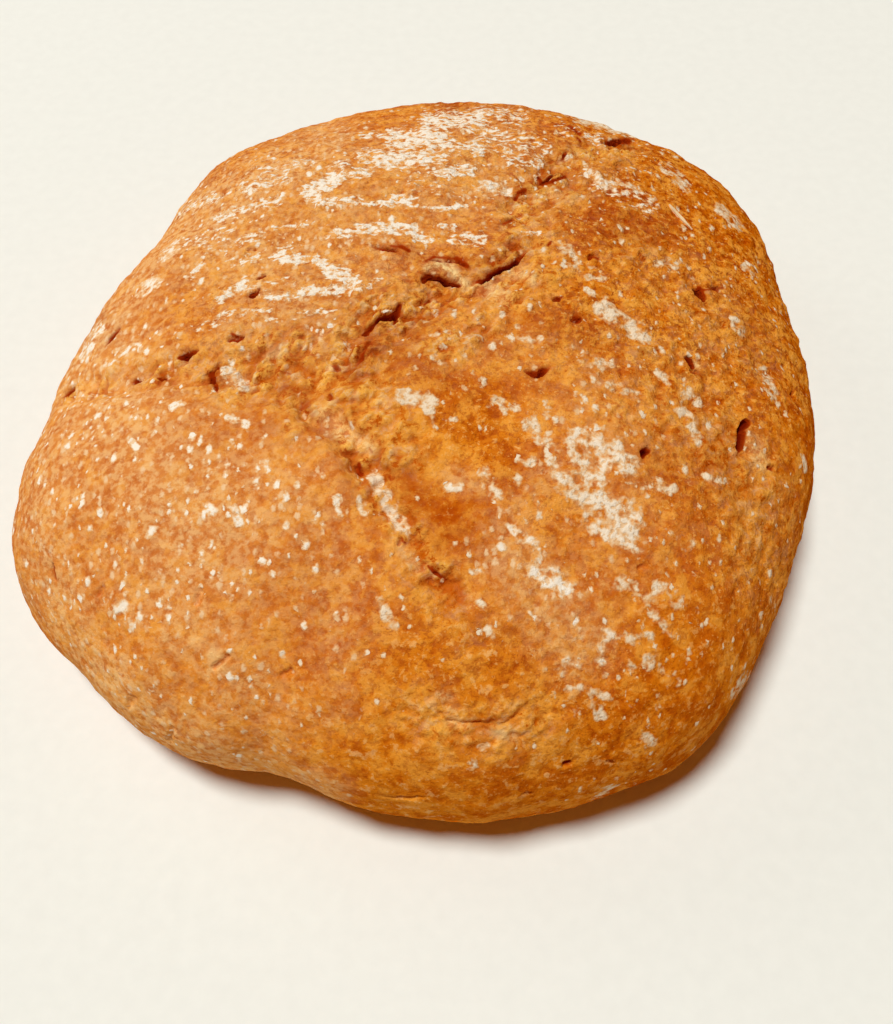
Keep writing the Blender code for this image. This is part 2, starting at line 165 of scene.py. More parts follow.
# Pits and gas holes: direction of the length in degrees, and in millimetres
# (x, y, length, half width, depth)
PITS = (
    (115, (69, 9.8, 2.2, 1.3, 3.8)), (10, (74, 13, 2, 0.9, 1.4)), (75, (74.2, -32.5, 4.4, 1.3, 3.4)),
    (48, (75.7, -28.3, 2.6, 0.9, 2.6)), (100, (64, -13, 1.8, 1.2, 2.2)), (0, (64.5, -16, 1, 0.9, 1.2)),
    (20, (81.5, -37.5, 1.4, 0.8, 1.3)), (80, (92, -13.5, 3, 0.8, 1.2)), (40, (49, -41.5, 1, 1.1, 2.6)),
    (30, (41.2, 15.8, 1.4, 0.7, 1.4)), (120, (54, 18, 1.4, 0.9, 1.2)), (20, (35.8, -4.8, 1.2, 1, 1.4)),
    (10, (31.8, 0.6, 1.6, 0.6, 1.5)), (0, (30.5, 20, 1, 0.6, 1.2)), (40, (20.5, 29, 2.4, 0.9, 1.2)),
    (90, (65.5, 64.5, 1.2, 1, 1.2)), (15, (-46, -10, 3.6, 0.9, 1.4)), (35, (-42.8, 4.5, 2, 1, 1.8)),
    (60, (-42, 10, 1, 1, 1.4)), (0, (-45.5, 20.5, 1, 0.9, 1.2)), (60, (-64.5, 24.5, 1.2, 1, 1.4)),
    (70, (-56, 49, 3, 0.9, 1)), (95, (-85, -62.5, 2.2, 0.7, 1.8)), (50, (-72, -69, 1.6, 1, 0.9)),
    (35, (-43.5, -86.5, 3.4, 0.8, 1.1)), (20, (-65.5, -89.5, 1.8, 0.9, 0.8)),
    (10, (-57, -96, 2.6, 0.8, 0.8)), (20, (-29.5, -89, 2, 0.9, 0.9)), (80, (-48.5, -74, 2, 1, 1)),
    (10, (30.5, -105.5, 1, 0.8, 1.4)), (0, (40, -104, 1.2, 0.7, 0.9)), (0, (22, -110, 1.4, 0.8, 1)),
    (60, (78, -71.5, 3, 0.9, 1)), (30, (47, -68, 1.2, 0.9, 1.1)), (120, (-21.5, -19.5, 2, 1, 1.3)),
    (60, (-22, -28.5, 1, 0.8, 1.3)), (30, (-33.5, -20.5, 2, 0.9, 1.1)),
    (110, (-15.2, -46.7, 1.8, 0.9, 1.4)), (110, (-7.8, -49.1, 1.4, 0.8, 1.1)),
    (60, (-5.3, -63.9, 1, 0.8, 1.2)),
)

# Crumbly zones without a valley: strength, and in millimetres half width, plan points
CRUMBLY = (
    (0.95, 10.5, ((-40, -15), (-30, -16), (-21, -13.5), (-11.5, -7))),
    (0.6, 6, ((-79, -12), (-65, -16), (-52, -17))),
    (0.7, 6.5, ((3, -15), (12, -9), (22, 0), (30, 11))),
    (0.6, 7, ((30, 26), (34.5, 38), (44, 55.5), (53, 60))),
    (0.5, 14, ((55, -15), (63, -30), (72, -43), (76, -55.5))),
    (0.4, 14, ((54, 21), (68, 7), (78, -3))),
    (0.6, 6, ((1, -98.5), (11, -101), (20.5, -99.5))),
    (0.35, 11, ((32, -9), (40, -26), (52.5, -38))),
    (0.55, 6, ((-28, -38), (-22, -35), (-14.5, -40))),
    (0.8, 8.5, ((-22, -18.5), (-16.9, -28.1), (-12, -37.1), (-7.1, -46.1))),
    (0.4, 6, ((-5, -68.5), (3, -75), (9, -81))),
    (0.25, 20, ((-45, 20), (-10, 40), (10, 50))),
)

# How the edges of valleys and cracks wander: size, distance
VALLEY_WANDER = (0.0120, 0.0028)
CRACK_WANDER = (0.0045, 0.0007)
FINE_WANDER = (0.0017, 0.0004)
WANDER_SEEDS = (11, 12, 13)

# Valleys: the size of their unevenness, the depth from which they are torn, how torn dough comes and
# goes (size, share, least) and the least tear that is crumbly
ROUGHNESS_SIZE = 0.0042
ROUGHNESS_SEED = 3
TORN_FULLY_AT = 0.0016
TORN_UNEVEN = (0.0080, 0.9, 0.2)
TORN_SEED = 8
CRUMBLY_FROM = 0.04

# Cracks: where the lips stand and the tips begin, the least depth and width at a tip, the curve of the
# walls, and how far the scorching and painted shade beside a crack reach, in half widths
LIP_DISTANCE = 1.7
CRACK_END = 0.0040
TIP_DEPTH = 0.06
TIP_WIDTH = 0.45
WALL_CURVE = 1.6
SCORCH_AND_SHADE_REACH = 2.0

# The depths from which a crack or pit starts to get painted shade, and gets it in full
SHADE_FROM = 0.0009
SHADE_FULL_AT = 0.0024

# Crust lips that hang over a crack: number in CRACKS, way the lip leans, how far it hangs
OVERHANGS = (
    (0, (0.05, -1.0), 0.0005),
    (2, (0.45, -0.9), 0.0005),
    (3, (0.10, -1.0), 0.0004),
    (4, (0.55, -0.8), 0.0005),
    (12, (0.10, -1.0), 0.0006),
)
OVERHANG_REACH = 1.6

# Finer relief than the solid carries: size, height
GRAIN = ((0.0050, 0.00034), (0.0024, 0.00027), (0.0013, 0.00013))
GRAIN_SEED = 20
GRAIN_LEAST = 0.8
CRUMB_LUMPS = ((0.0046, 0.0009), (0.0023, 0.0007), (0.0012, 0.0003))
CRUMB_DRAWN_OUT = 0.62
CRUMB_LUMP_REACH = 0.75
# How the painted shade in the creases fades from each size of lump to the next
CREASE_SHADE_FADE = 0.8

# How far one step of the seed moves through the noise, and through the lumps
NOISE_SHIFT = (7.3, 3.1, 5.7)
LUMP_SHIFT = (2.9, 4.3, 1.7)

# Fineness: the mesh is halved once above this height, and again this near to tears, cracks and pits,
# and over this share of the crumbly zones that are stronger than FINER_IF_CRUMBLY
CROWN_ABOVE = 0.026
FINER_WITHIN_TEARS = 0.0050
FINER_WITHIN_CRACKS = 0.0022
FINER_IF_CRUMBLY = 0.5
FINER_SHARE_OF_CRUMBLY = 0.8

# ---------------------------------------------------------------- the view
PICTURE_SIZE = (893, 1024)
VIEW_ANGLE_ACROSS = math.radians(48)
CAMERA_ELEVATION = math.radians(59)
CAMERA_DISTANCE = 0.287
CAMERA_AIM = (0.0045, -0.0215, 0.0)
SENSOR = 36.0
NEAREST_SEEN = 0.01

KEY_FROM = (-0.21, 0.06, 1.0)
KEY_SPREAD = math.radians(15)
KEY_TINT = (0.95, 1.02, 0.995)
SIDE_FROM = (-0.80, 0.45, 0.62)
SIDE_AIM = (0, 0, 0.02)
SIDE_SIZE = 0.6
SIDE_TINT = (1.0, 0.98, 0.95)
SKY_TINT = (1.0, 0.30, 0.06)
FLOOR_HALF_SIZE = 3.0
FLOOR_BELOW = 0.0002

# ---------------------------------------------------------------- places on the crust
# All in the picture's pixels: from x, y to x, y, half width, strength
FLOUR = (
    (575, 118, 636, 134, 5, 0.9), (483, 186, 506, 190, 8, 0.95), (588, 170, 617, 192, 9, 0.5),
    (620, 182, 650, 204, 9, 0.5), (663, 166, 686, 186, 7, 0.75), (716, 206, 740, 228, 6, 0.65),
    (560, 246, 598, 280, 9, 0.5), (586, 290, 594, 294, 4, 0.8), (602, 306, 646, 338, 10, 0.75),
    (657, 262, 686, 266, 6, 0.6), (744, 266, 752, 274, 4, 0.8), (734, 320, 742, 333, 6, 0.75),
    (572, 352, 610, 368, 8, 0.5), (610, 384, 637, 396, 6, 0.7), (657, 372, 666, 382, 5, 0.8),
    (686, 392, 697, 402, 6, 1), (680, 408, 700, 440, 7, 0.65), (762, 370, 774, 396, 6, 0.8),
    (517, 330, 531, 345, 6, 0.6), (434, 334, 482, 340, 6, 0.45), (434, 358, 445, 365, 5, 0.6),
    (402, 396, 432, 402, 9, 0.95), (428, 408, 434, 424, 5, 0.7), (443, 419, 455, 419, 3, 0.9),
    (492, 400, 513, 408, 8, 0.65), (532, 424, 546, 440, 10, 0.75), (548, 412, 560, 418, 7, 0.5),
    (578, 440, 608, 452, 17, 0.8), (586, 466, 600, 490, 13, 0.8), (612, 448, 632, 470, 13, 0.8),
    (554, 464, 570, 492, 12, 0.7), (590, 502, 632, 518, 15, 0.85), (606, 524, 634, 542, 13, 0.95),
    (578, 522, 590, 528, 8, 0.65), (656, 484, 672, 490, 7, 0.75), (642, 492, 645, 494, 5, 0.8),
    (672, 532, 690, 546, 8, 0.55), (506, 516, 522, 536, 8, 0.55), (500, 546, 505, 548, 5, 0.5),
    (531, 542, 540, 556, 7, 0.65), (526, 566, 544, 582, 9, 0.65), (550, 574, 568, 588, 11, 0.9),
    (484, 474, 495, 496, 8, 0.8), (448, 487, 458, 487, 6, 0.75), (524, 463, 534, 463, 6, 0.75),
    (612, 578, 642, 594, 9, 0.45), (660, 588, 678, 602, 10, 0.85), (650, 608, 668, 632, 9, 0.65),
    (604, 636, 636, 640, 8, 0.65), (649, 635, 652, 637, 6, 0.95), (601, 647, 603, 648, 6, 0.75),
    (599, 661, 602, 663, 6, 0.75), (629, 666, 632, 668, 6, 0.85), (646, 662, 650, 665, 7, 0.95),
    (656, 656, 674, 680, 8, 0.5), (566, 660, 584, 672, 7, 0.55), (557, 672, 560, 674, 5, 0.7),
    (605, 674, 614, 688, 6, 0.5), (570, 690, 592, 690, 6, 0.65), (598, 692, 611, 698, 6, 0.75),
    (594, 706, 600, 713, 8, 0.95), (626, 703, 629, 705, 5, 0.5), (645, 739, 651, 741, 6, 0.9),
    (474, 571, 480, 571, 6, 0.85), (479, 604, 483, 606, 6, 0.85), (479, 633, 481, 633, 5, 0.6),
    (481, 745, 485, 745, 6, 0.8), (471, 764, 475, 764, 6, 0.75), (598, 795, 617, 782, 5, 0.6),
    (706, 477, 726, 482, 5, 0.8), (803, 455, 805, 472, 3, 0.8), (772, 596, 777, 620, 3, 0.5),
    (732, 694, 746, 676, 5, 0.75), (382, 602, 392, 628, 7, 0.7), (110, 600, 140, 626, 10, 0.5),
    (374, 476, 384, 496, 8, 0.75), (385, 498, 394, 514, 9, 0.8), (394, 515, 404, 529, 8, 0.75),
    (328, 418, 338, 426, 5, 0.45), (348, 436, 358, 442, 4, 0.35), (228, 372, 242, 386, 8, 0.8),
    (336, 498, 340, 512, 5, 0.9), (360, 500, 364, 512, 5, 0.8), (318, 470, 324, 476, 4, 0.8),
    (232, 508, 240, 524, 5, 0.9), (206, 506, 212, 512, 6, 0.9), (264, 462, 268, 470, 5, 0.7),
    (228, 420, 246, 424, 5, 0.9), (172, 408, 182, 402, 4, 0.9), (130, 440, 136, 446, 5, 0.9),
    (148, 536, 154, 528, 5, 0.8), (128, 596, 124, 606, 6, 0.7), (166, 596, 170, 606, 5, 0.8),
    (84, 358, 100, 328, 6, 0.95), (120, 352, 140, 347, 5, 0.8), (97, 366, 114, 360, 5, 0.6),
    (140, 292, 158, 280, 7, 0.7), (163, 260, 177, 243, 6, 0.7),
)

# Flour in streaks that run round the back of the loaf
STREAKS = (
    (428, 120, 478, 120, 10, 0.85), (480, 112, 520, 118, 8, 0.6), (362, 136, 378, 135, 5, 0.6),
    (394, 138, 440, 138, 11, 0.95), (446, 146, 478, 150, 8, 0.7), (484, 138, 540, 148, 15, 0.5),
    (380, 162, 406, 162, 8, 0.98), (362, 156, 424, 156, 9, 0.65), (408, 160, 444, 158, 6, 0.65),
    (442, 172, 470, 170, 7, 0.9), (510, 162, 536, 164, 8, 0.45), (336, 164, 347, 162, 5, 0.6),
    (308, 192, 334, 180, 9, 0.9), (336, 178, 368, 172, 6, 0.75), (318, 202, 362, 200, 5, 0.7),
    (370, 204, 414, 203, 5, 0.7), (394, 198, 410, 196, 5, 0.7), (424, 208, 468, 208, 3, 0.7),
    (288, 166, 312, 162, 6, 0.5), (262, 170, 278, 168, 5, 0.5), (243, 188, 286, 178, 7, 0.62),
    (220, 218, 278, 198, 7, 0.68), (180, 212, 218, 196, 6, 0.55), (250, 236, 262, 236, 5, 0.65),
    (272, 227, 308, 226, 3, 0.65), (332, 233, 350, 233, 5, 0.95), (356, 229, 412, 228, 7, 0.92),
    (416, 239, 430, 240, 5, 0.7), (442, 226, 453, 227, 4, 0.8), (454, 238, 482, 240, 8, 0.7),
    (522, 234, 540, 234, 3, 0.6), (279, 259, 304, 260, 6, 0.9), (316, 260, 360, 286, 6, 0.8),
    (328, 270, 352, 280, 8, 0.9), (300, 292, 342, 290, 6, 0.9), (268, 298, 294, 296, 5, 0.75),
    (370, 286, 380, 278, 4, 0.7), (192, 276, 203, 260, 5, 0.65), (220, 300, 246, 280, 6, 0.7),
    (228, 314, 270, 310, 4, 0.5), (382, 312, 396, 311, 2, 0.8), (420, 180, 520, 215, 20, 0.22),
    (586, 178, 652, 208, 13, 0.35), (232, 262, 296, 248, 7, 0.55), (236, 292, 292, 280, 5, 0.5),
    (262, 322, 334, 310, 5, 0.4), (212, 250, 250, 240, 6, 0.45), (200, 330, 232, 312, 6, 0.4),
    (560, 128, 600, 140, 8, 0.4), (190, 244, 230, 232, 10, 0.35),
)

# Sparse specks of flour over wider parts of the crust
SPECKS = (
    (110, 430, 200, 480, 70, 0.75), (110, 560, 240, 660, 80, 0.5), (300, 500, 380, 560, 70, 0.22),
    (230, 230, 420, 170, 70, 0.45), (200, 330, 330, 300, 50, 0.3), (620, 230, 740, 330, 80, 0.45),
    (600, 480, 640, 640, 80, 0.4), (470, 330, 640, 400, 60, 0.35), (500, 160, 640, 170, 50, 0.45),
    (440, 620, 640, 740, 70, 0.18), (760, 440, 780, 640, 50, 0.2),
)

# A thin veil of flour over wider parts of the crust, and painted light: the pale veil also brightens
# the left rim and lower left, where the light falls
VEIL_AND_LIGHT = (
    (100, 400, 190, 520, 105, 0.85), (240, 230, 480, 170, 80, 0.45), (300, 480, 330, 600, 60, 0.35),
    (180, 220, 330, 140, 26, 0.8), (60, 380, 180, 220, 30, 0.8), (40, 470, 44, 570, 36, 0.75),
    (190, 640, 270, 720, 44, 0.4), (230, 260, 330, 330, 36, 0.6), (60, 610, 110, 690, 28, 0.85),
    (110, 690, 200, 752, 28, 0.9), (200, 756, 330, 792, 18, 0.85), (510, 560, 575, 640, 36, 0.75),
    (455, 478, 478, 484, 14, 0.6), (340, 640, 340, 710, 24, 0.25), (240, 340, 300, 335, 24, 0.45),
    (330, 250, 380, 262, 40, 0.35), (540, 480, 500, 520, 18, 0.4), (590, 430, 620, 540, 60, 0.3),
    (430, 345, 520, 345, 40, 0.2), (120, 600, 240, 660, 50, 0.12),
)

# Over-baked crust: lips round the tears and darker stains, and painted shade: the dark crescent under
# the strand at the mouth of the tear and a broad shadow beside the ridge where the tears meet
TOASTED_AND_SHADED = (
    (280, 382, 300, 392, 9, 0.55), (288, 388, 322, 424, 8, 0.58), (322, 426, 346, 456, 5, 0.6),
    (404, 470, 420, 500, 8, 0.5), (350, 372, 374, 346, 12, 0.75), (378, 344, 420, 322, 13, 0.55),
    (392, 246, 424, 262, 9, 0.5), (462, 262, 500, 262, 9, 0.6), (496, 258, 524, 244, 8, 0.5),
    (505, 196, 560, 176, 10, 0.45), (525, 165, 566, 150, 8, 0.35), (596, 224, 644, 228, 15, 0.6),
    (560, 330, 610, 334, 18, 0.45), (398, 356, 440, 376, 18, 0.45), (390, 470, 450, 540, 22, 0.4),
    (450, 520, 520, 480, 24, 0.3), (440, 104, 452, 106, 12, 0.6), (300, 560, 340, 640, 40, 0.2),
    (410, 640, 520, 660, 40, 0.2), (80, 330, 104, 320, 10, 0.4), (600, 190, 660, 230, 30, 0.3),
    (500, 560, 560, 620, 30, 0.15), (640, 455, 690, 480, 20, 0.35), (488, 345, 530, 330, 16, 0.35),
    (426, 260, 434, 256, 3, 0.8), (434, 256, 459, 259, 3, 0.8), (459, 259, 467, 266, 4, 0.95),
    (640, 700, 700, 715, 26, 0.12), (620, 560, 680, 560, 16, 0.25), (740, 300, 768, 380, 16, 0.3),
    (280, 320, 360, 310, 24, 0.25), (190, 440, 280, 420, 30, 0.2), (700, 420, 730, 520, 30, 0.25),
)

# Pale open crumb
CRUMB = (
    (426, 267, 438, 263, 4, 0.9), (438, 263, 450, 269, 5, 1), (450, 269, 464, 284, 5, 1),
    (484, 288, 502, 296, 9, 0.75), (510, 272, 532, 276, 6, 0.7), (324, 414, 341, 430, 9, 0.85),
    (344, 434, 372, 448, 7, 0.6), (552, 194, 572, 198, 5, 0.35), (752, 444, 760, 462, 8, 0.8),
    (230, 376, 242, 384, 8, 0.6), (214, 654, 220, 668, 7, 0.6), (100, 344, 112, 336, 5, 0.6),
    (118, 320, 128, 314, 6, 0.35), (440, 696, 450, 696, 5, 0.6), (450, 723, 466, 724, 5, 0.6),
    (498, 733, 512, 736, 7, 0.5), (694, 362, 698, 366, 3, 0.7), (395, 545, 420, 570, 7, 0.35),
    (268, 358, 282, 352, 5, 0.5), (560, 160, 576, 154, 4, 0.4),
)

# Painted light: where the crust is painted a brighter, smoother gold in place of the light that falls
# on it, mostly on the front and lower left
PAINTED_LIGHT = (
    (330, 775, 560, 778, 34, 0.6), (320, 804, 450, 812, 14, 0.9), (740, 520, 778, 600, 24, 0.5),
    (735, 690, 750, 670, 20, 0.6), (640, 600, 730, 640, 50, 0.35), (600, 740, 700, 720, 34, 0.3),
    (60, 620, 150, 725, 24, 0.7), (170, 748, 330, 790, 20, 0.8), (500, 650, 560, 690, 24, 0.5),
    (430, 640, 540, 690, 44, 0.7), (420, 705, 530, 735, 16, 0.5), (170, 640, 280, 740, 56, 0.7),
    (430, 440, 510, 430, 26, 0.45), (300, 740, 420, 700, 50, 0.45), (560, 770, 660, 735, 26, 0.45),
    (720, 380, 760, 460, 30, 0.2), (590, 290, 640, 300, 30, 0.15), (490, 590, 540, 640, 24, 0.3),
)

# Painted shade: thin cracks and small holes, darkened in colour rather than pressed in
PAINTED_SHADE_LINES = (
    (426, 261, 434, 257, 1.6, 0.55), (434, 257, 457, 259, 1.5, 0.5), (457, 259, 467, 266, 2.4, 0.9),
    (402, 297, 409, 298, 1.4, 0.3), (424, 305, 429, 301, 1.4, 0.6), (411, 311, 417, 313, 2.5, 0.32),
    (538, 178, 543, 184, 1.8, 0.9), (543, 184, 553, 181, 1.9, 0.95), (553, 181, 565, 177, 1.7, 0.9),
    (518, 193, 525, 190, 2, 0.85), (561, 160, 566, 158, 1.6, 0.6), (608, 143, 628, 141, 3.2, 0.9),
    (569, 126, 580, 134, 1.8, 0.65), (577, 138, 581, 142, 1.8, 0.6), (504, 224, 512, 220, 2.5, 0.55),
    (548, 245, 551, 242, 1.8, 0.65), (590, 255, 598, 259, 1.6, 0.6), (640, 255, 645, 259, 1.4, 0.55),
    (556, 298, 562, 297, 1.8, 0.6), (574, 318, 580, 319, 3, 0.6), (703, 290, 722, 288, 1.4, 0.5),
    (359, 464, 360, 468, 2.4, 0.7), (370, 449, 372, 452, 1.8, 0.4), (389, 476, 391, 480, 2, 0.42),
    (402, 540, 405, 543, 1.8, 0.55), (428, 566, 432, 571, 1.6, 0.6), (442, 577, 446, 580, 1.5, 0.5),
    (330, 395, 332, 399, 2, 0.55), (232, 334, 242, 339, 2, 0.6), (280, 371, 290, 374, 1.5, 0.45),
    (336, 366, 340, 370, 2.2, 0.5), (436, 711, 446, 713, 3, 0.26), (470, 716, 480, 718, 2.6, 0.24),
    (485, 719, 508, 720, 2.6, 0.26), (488, 675, 492, 677, 3, 0.24), (391, 246, 402, 247, 1.6, 0.5),
    (402, 247, 409, 251, 2, 0.8), (699, 289, 703, 297, 3, 1),
)

# Where the crust is painted a deeper colour
DEEPER = (
    (536, 170, 590, 230, 32, 0.55), (560, 320, 600, 322, 24, 0.35), (655, 280, 705, 320, 26, 0.3),
    (376, 396, 384, 440, 18, 0.45), (300, 440, 345, 440, 18, 0.4), (450, 320, 465, 400, 24, 0.35),
    (495, 268, 510, 292, 12, 0.6), (700, 430, 705, 460, 20, 0.35), (606, 806, 664, 770, 16, 0.3),
    (612, 716, 640, 724, 20, 0.4), (540, 300, 570, 300, 16, 0.3), (330, 520, 352, 530, 20, 0.25),
    (420, 158, 470, 162, 22, 0.35), (536, 128, 600, 165, 18, 0.35),
)

# Where the crust is flaky, with sharp light and dark flecks
FLAKY = (
    (480, 140, 640, 160, 60, 0.9), (540, 240, 720, 260, 80, 0.9), (620, 330, 760, 360, 80, 0.9),
    (700, 460, 760, 560, 70, 0.6), (240, 190, 460, 160, 70, 0.7), (220, 290, 420, 270, 50, 0.7),
    (220, 360, 400, 330, 50, 0.6), (430, 330, 540, 500, 60, 0.4), (380, 620, 600, 700, 80, 0.3),
)

# How quickly the places of flour end, how strong the painted shade of a line is, and how a place fades
# where the crust turns away from the view: the facing from which it counts, and the span over which it
# grows
FLOUR_POWER = 3
PAINTED_SHADE_STRENGTH = 0.5
FACING_FROM = 0.30
FACING_SPAN = 0.35

# The husk's middle line in the picture's pixels, the share of its width at each point, how far it lies
# above the crust, and the least share of that at its ends
HUSK = ((669, 205), (672, 209), (677, 215), (682, 220), (687, 225), (692, 230))
HUSK_SHARES = (0.35, 0.85, 1.0, 0.85, 0.55, 0.20)
HUSK_RISE = 0.0003
HUSK_LEAST_RISE = 0.6

# ---------------------------------------------------------------- the crust's colours
# Marks that the mesh carries for its material
MARKS = (
    "flour", "streaks", "specks", "veil_and_light", "golden", "deeper", "flaky", "torn", "crease_shade", "crumb",
    "toast_and_shade", "scorched_and_shaded", "hollow_shade",
)

# Patterns that the colours follow: size, detail, roughness, distortion
PATTERNS = {
    "broad": (0.026, 2, 0.5, 0),
    "patches": (0.0058, 3, 0.55, 0),
    "bloom": (0.0018, 3, 0.6, 0),
    "flecks": (0.0024, 4, 0.62, 0),
    "grain": (0.0011, 3, 0.65, 0),
    "crumbs": (0.0030, 5, 0.72, 0.4),
}

# Strength of the fine flakes: how the veil and painted light change it and where it starts, and what
# flaky crust adds
FLAKES_BY_VEIL_AND_LIGHT = (-0.26, 0.38)
FLAKES_BY_FLAKY = 0.60

# Layers of colour, the first laid first: pattern, where it sets in and is full (None: as it is), its
# strength, what a mark adds to that, the mark, the colour
BAKING = (
    ("broad", (0.62, 0.38), 0.35, 0, None, "deep"),
    # Painted light: the brighter amber where the light falls
    ("golden", None, 0.70, 0, None, "painted_light_amber"),
    ("deeper", None, 0.75, 0, None, "deep"),
    ("patches", (0.51, 0.60), 0.60, -0.20, "veil_and_light", "gold"),
    ("patches", (0.49, 0.38), 0.65, -0.35, "veil_and_light", "deep"),
    # Partly painted shade and light: the flecks and grain also raise the fine bump, so their brown lows
    # lie in its low places and their gold highs on its tops
    ("flecks", (0.55, 0.62), 0, 0.80, "flakes", "gold"),
    ("flecks", (0.46, 0.39), 0, 0.85, "flakes", "brown"),
    ("grain", (0.57, 0.65), 0, 0.70, "flakes", "gold"),
    ("grain", (0.44, 0.36), 0, 0.85, "flakes", "brown"),
    # Flour veil and painted light: the pale veil
    ("veil_and_light", None, 0.24, 0, None, "pale"),
    ("bloom", (0.40, 0.61), 0, 0.66, "veil_and_light", "pale"),
    ("flecks", (0.47, 0.38), 0, 0.46, "veil_and_light", "deep"),
    # Painted highlights: pale flecks where the painted light lies
    ("flecks", (0.56, 0.66), 0, 0.60, "golden", "pale"),
    ("grain", (0.61, 0.69), 0, 0.55, "flakes", "pale"),
)
# Painted shade in the torn dough: the crease layer darkens the creases between the crumbs, and the
# crumbs' deep lows lie in the low places of their bump
OPEN_DOUGH = (
    ("crumbs", (0.51, 0.60), 0.90, 0, None, "crumb"),
    ("crumbs", (0.47, 0.38), 1, 0, None, "deep"),
    ("crease_shade", None, 0.90, 0, None, "deep"),
)
OVER_BOTH = (
    ("toasted_and_shaded", None, 1, 0, None, "toast_and_shade"),
    ("strands", None, 1, 0, None, "crumb"),
    # Painted shade in cracks and gas holes: red-brown where shallow, the darkest colour where deep
    ("hollow_shade", (0.02, 0.30), 1, 0, None, "toast_and_shade"),
    ("hollow_shade", (0.25, 0.75), 1, 0, None, "hollow_shade"),
)
TORN_STRENGTH = 0.9
SCORCH_AND_SHADE_STRENGTH = 0.75

# Unevenness of the over-baked and painted-shade places and the crumb: where their pattern sets in, its
# slope and start
TOAST_AND_SHADE_REACH = (0.4, 0.7)
TOAST_AND_SHADE_STRENGTH = (-0.5, 0.9)
STRAND_REACH = (0.40, 0.58)
STRAND_STRENGTH = (0.75, 0.20)

# Patches of flour: sizes of their clumps and bands in grains, their edges (where the open crust ends,
# how far that moves, softness), how the edge follows the density, and how thick clumps are
CLUMP_SIZE = 1.2
BAND_SIZE = 0.65
BAND_ROUGHNESS = 0.55
CLUMP_EDGE = (0.25, 0.36, 0.32)
STREAK_EDGE = (0.31, 0.31, 0.25)
EDGE_CURVE = 1.4
PATCH_REACH = (0.05, 0.25)
CLUMP_THICKNESS = (0.12, 0.74)
STREAK_DRAWN_OUT = (0.65, 1.0, 1.0)

# Gaps in the patches and groups of specks: size, where they set in, slope and start of what they leave
GAPS = (0.0012, (0.36, 0.52), (0.45, 0.55))
GROUPS_OF_SPECKS = (0.011, (0.36, 0.62), (0.75, 0.15))

# Specks: how often they lie in patches and streaks, and for each kind what it follows, its size in
# grains, how often it comes, its radius in cells, and how much it hides
SPECKS_IN_PATCHES = 0.9
SPECKS_IN_STREAKS = 0.6
SPECK_KINDS = (
    ("often", 1.25, 0.55, 0.28, 0.86),
    ("often", 0.75, 0.45, 0.30, 0.76),
    ("veil_and_light", 1.0, 0.70, 0.30, 0.42),
)
SPECK_DRAWN_OUT = (1.15, 0.80, 1.0)
SPECK_WOBBLE = 0.6
SPECK_WOBBLE_SIZE = 0.45
SPECK_GIRTHS = (0.6, 0.7)
SPECK_EDGE = (0.24, 0.20)

# Where flour takes its white, lit colours rather than its greyer painted-shade copies, the covers at
# which its thin and thick colours set in and are full, and the hollows that it stays out of
LIT_FLOUR_IN_VEIL_AND_LIGHT = 0.7
LIT_FLOUR_REACH = (0.05, 0.40)
THIN_REACH = (0.04, 0.50)
THICK_REACH = (0.35, 0.85)
CLEAR_OF_HOLLOWS = (0.4, 0.1)
FLOUR_ROUGHNESS = 0.3

# The finest relief: how flaky crust raises it (slope, start), shares of the grain, the torn dough and
# the flour, and its depth
RELIEF_BY_FLAKY = (0.8, 0.7)
RELIEF_OF_GRAIN = 0.4
RELIEF_OF_TORN = 0.7
RELIEF_OF_FLOUR = 0.20
RELIEF_DEPTH = 0.0008

# Plain surfaces: roughness, size and depth of their unevenness
HUSK_SURFACE = (0.7, 0.001, 0.0001)
FLOOR_SURFACE = (0.8, 0.004, 0.0001)
SPECKLE_DARKER = 0.93
SPECKLE_BUMP = 0.5

# The sockets of a node that mixes two colours: share, first, second, and its result
MIX_SHARE, MIX_FIRST, MIX_SECOND, MIX_RESULT = 0, 6, 7, 2


# ---------------------------------------------------------------- what a user may change
def light(red, green, blue):
    """A colour read as 0 to 255 on a screen, as linear light."""
    shown = [value / 255 for value in (red, green, blue)]
    return tuple(s / 12.92 if s <= 0.04045 else ((s + 0.055) / 1.055) ** 2.4 for s in shown)


def colour(name, description, shown):
    """A colour property whose default is given as it shows on a screen."""
    return FloatVectorProperty(
        name=name, description=description, default=light(*shown), subtype="COLOR", min=0, max=1
    )


def length(name, description, default):
    return FloatProperty(
        name=name, description=description, default=default, subtype="DISTANCE", unit="LENGTH"
    )


class LoafForm(bpy.types.PropertyGroup):
    """Main sizes of the crust"""

    height: length("Height", "Height of the plain crown above the floor", 0.064)
    widest: length("Widest line", "Height of the widest line above the floor", 0.019)
    tuck: length("Tuck", "How far the side draws in below its widest line", 0.014)
    crown: FloatProperty(
        name="Crown", description="2 is an ellipse; more is flatter on top", default=2.4, min=2, max=4
    )
    divisions: IntProperty(
        name="Divisions", description="How often the starting sphere is halved", default=7, min=5, max=7
    )


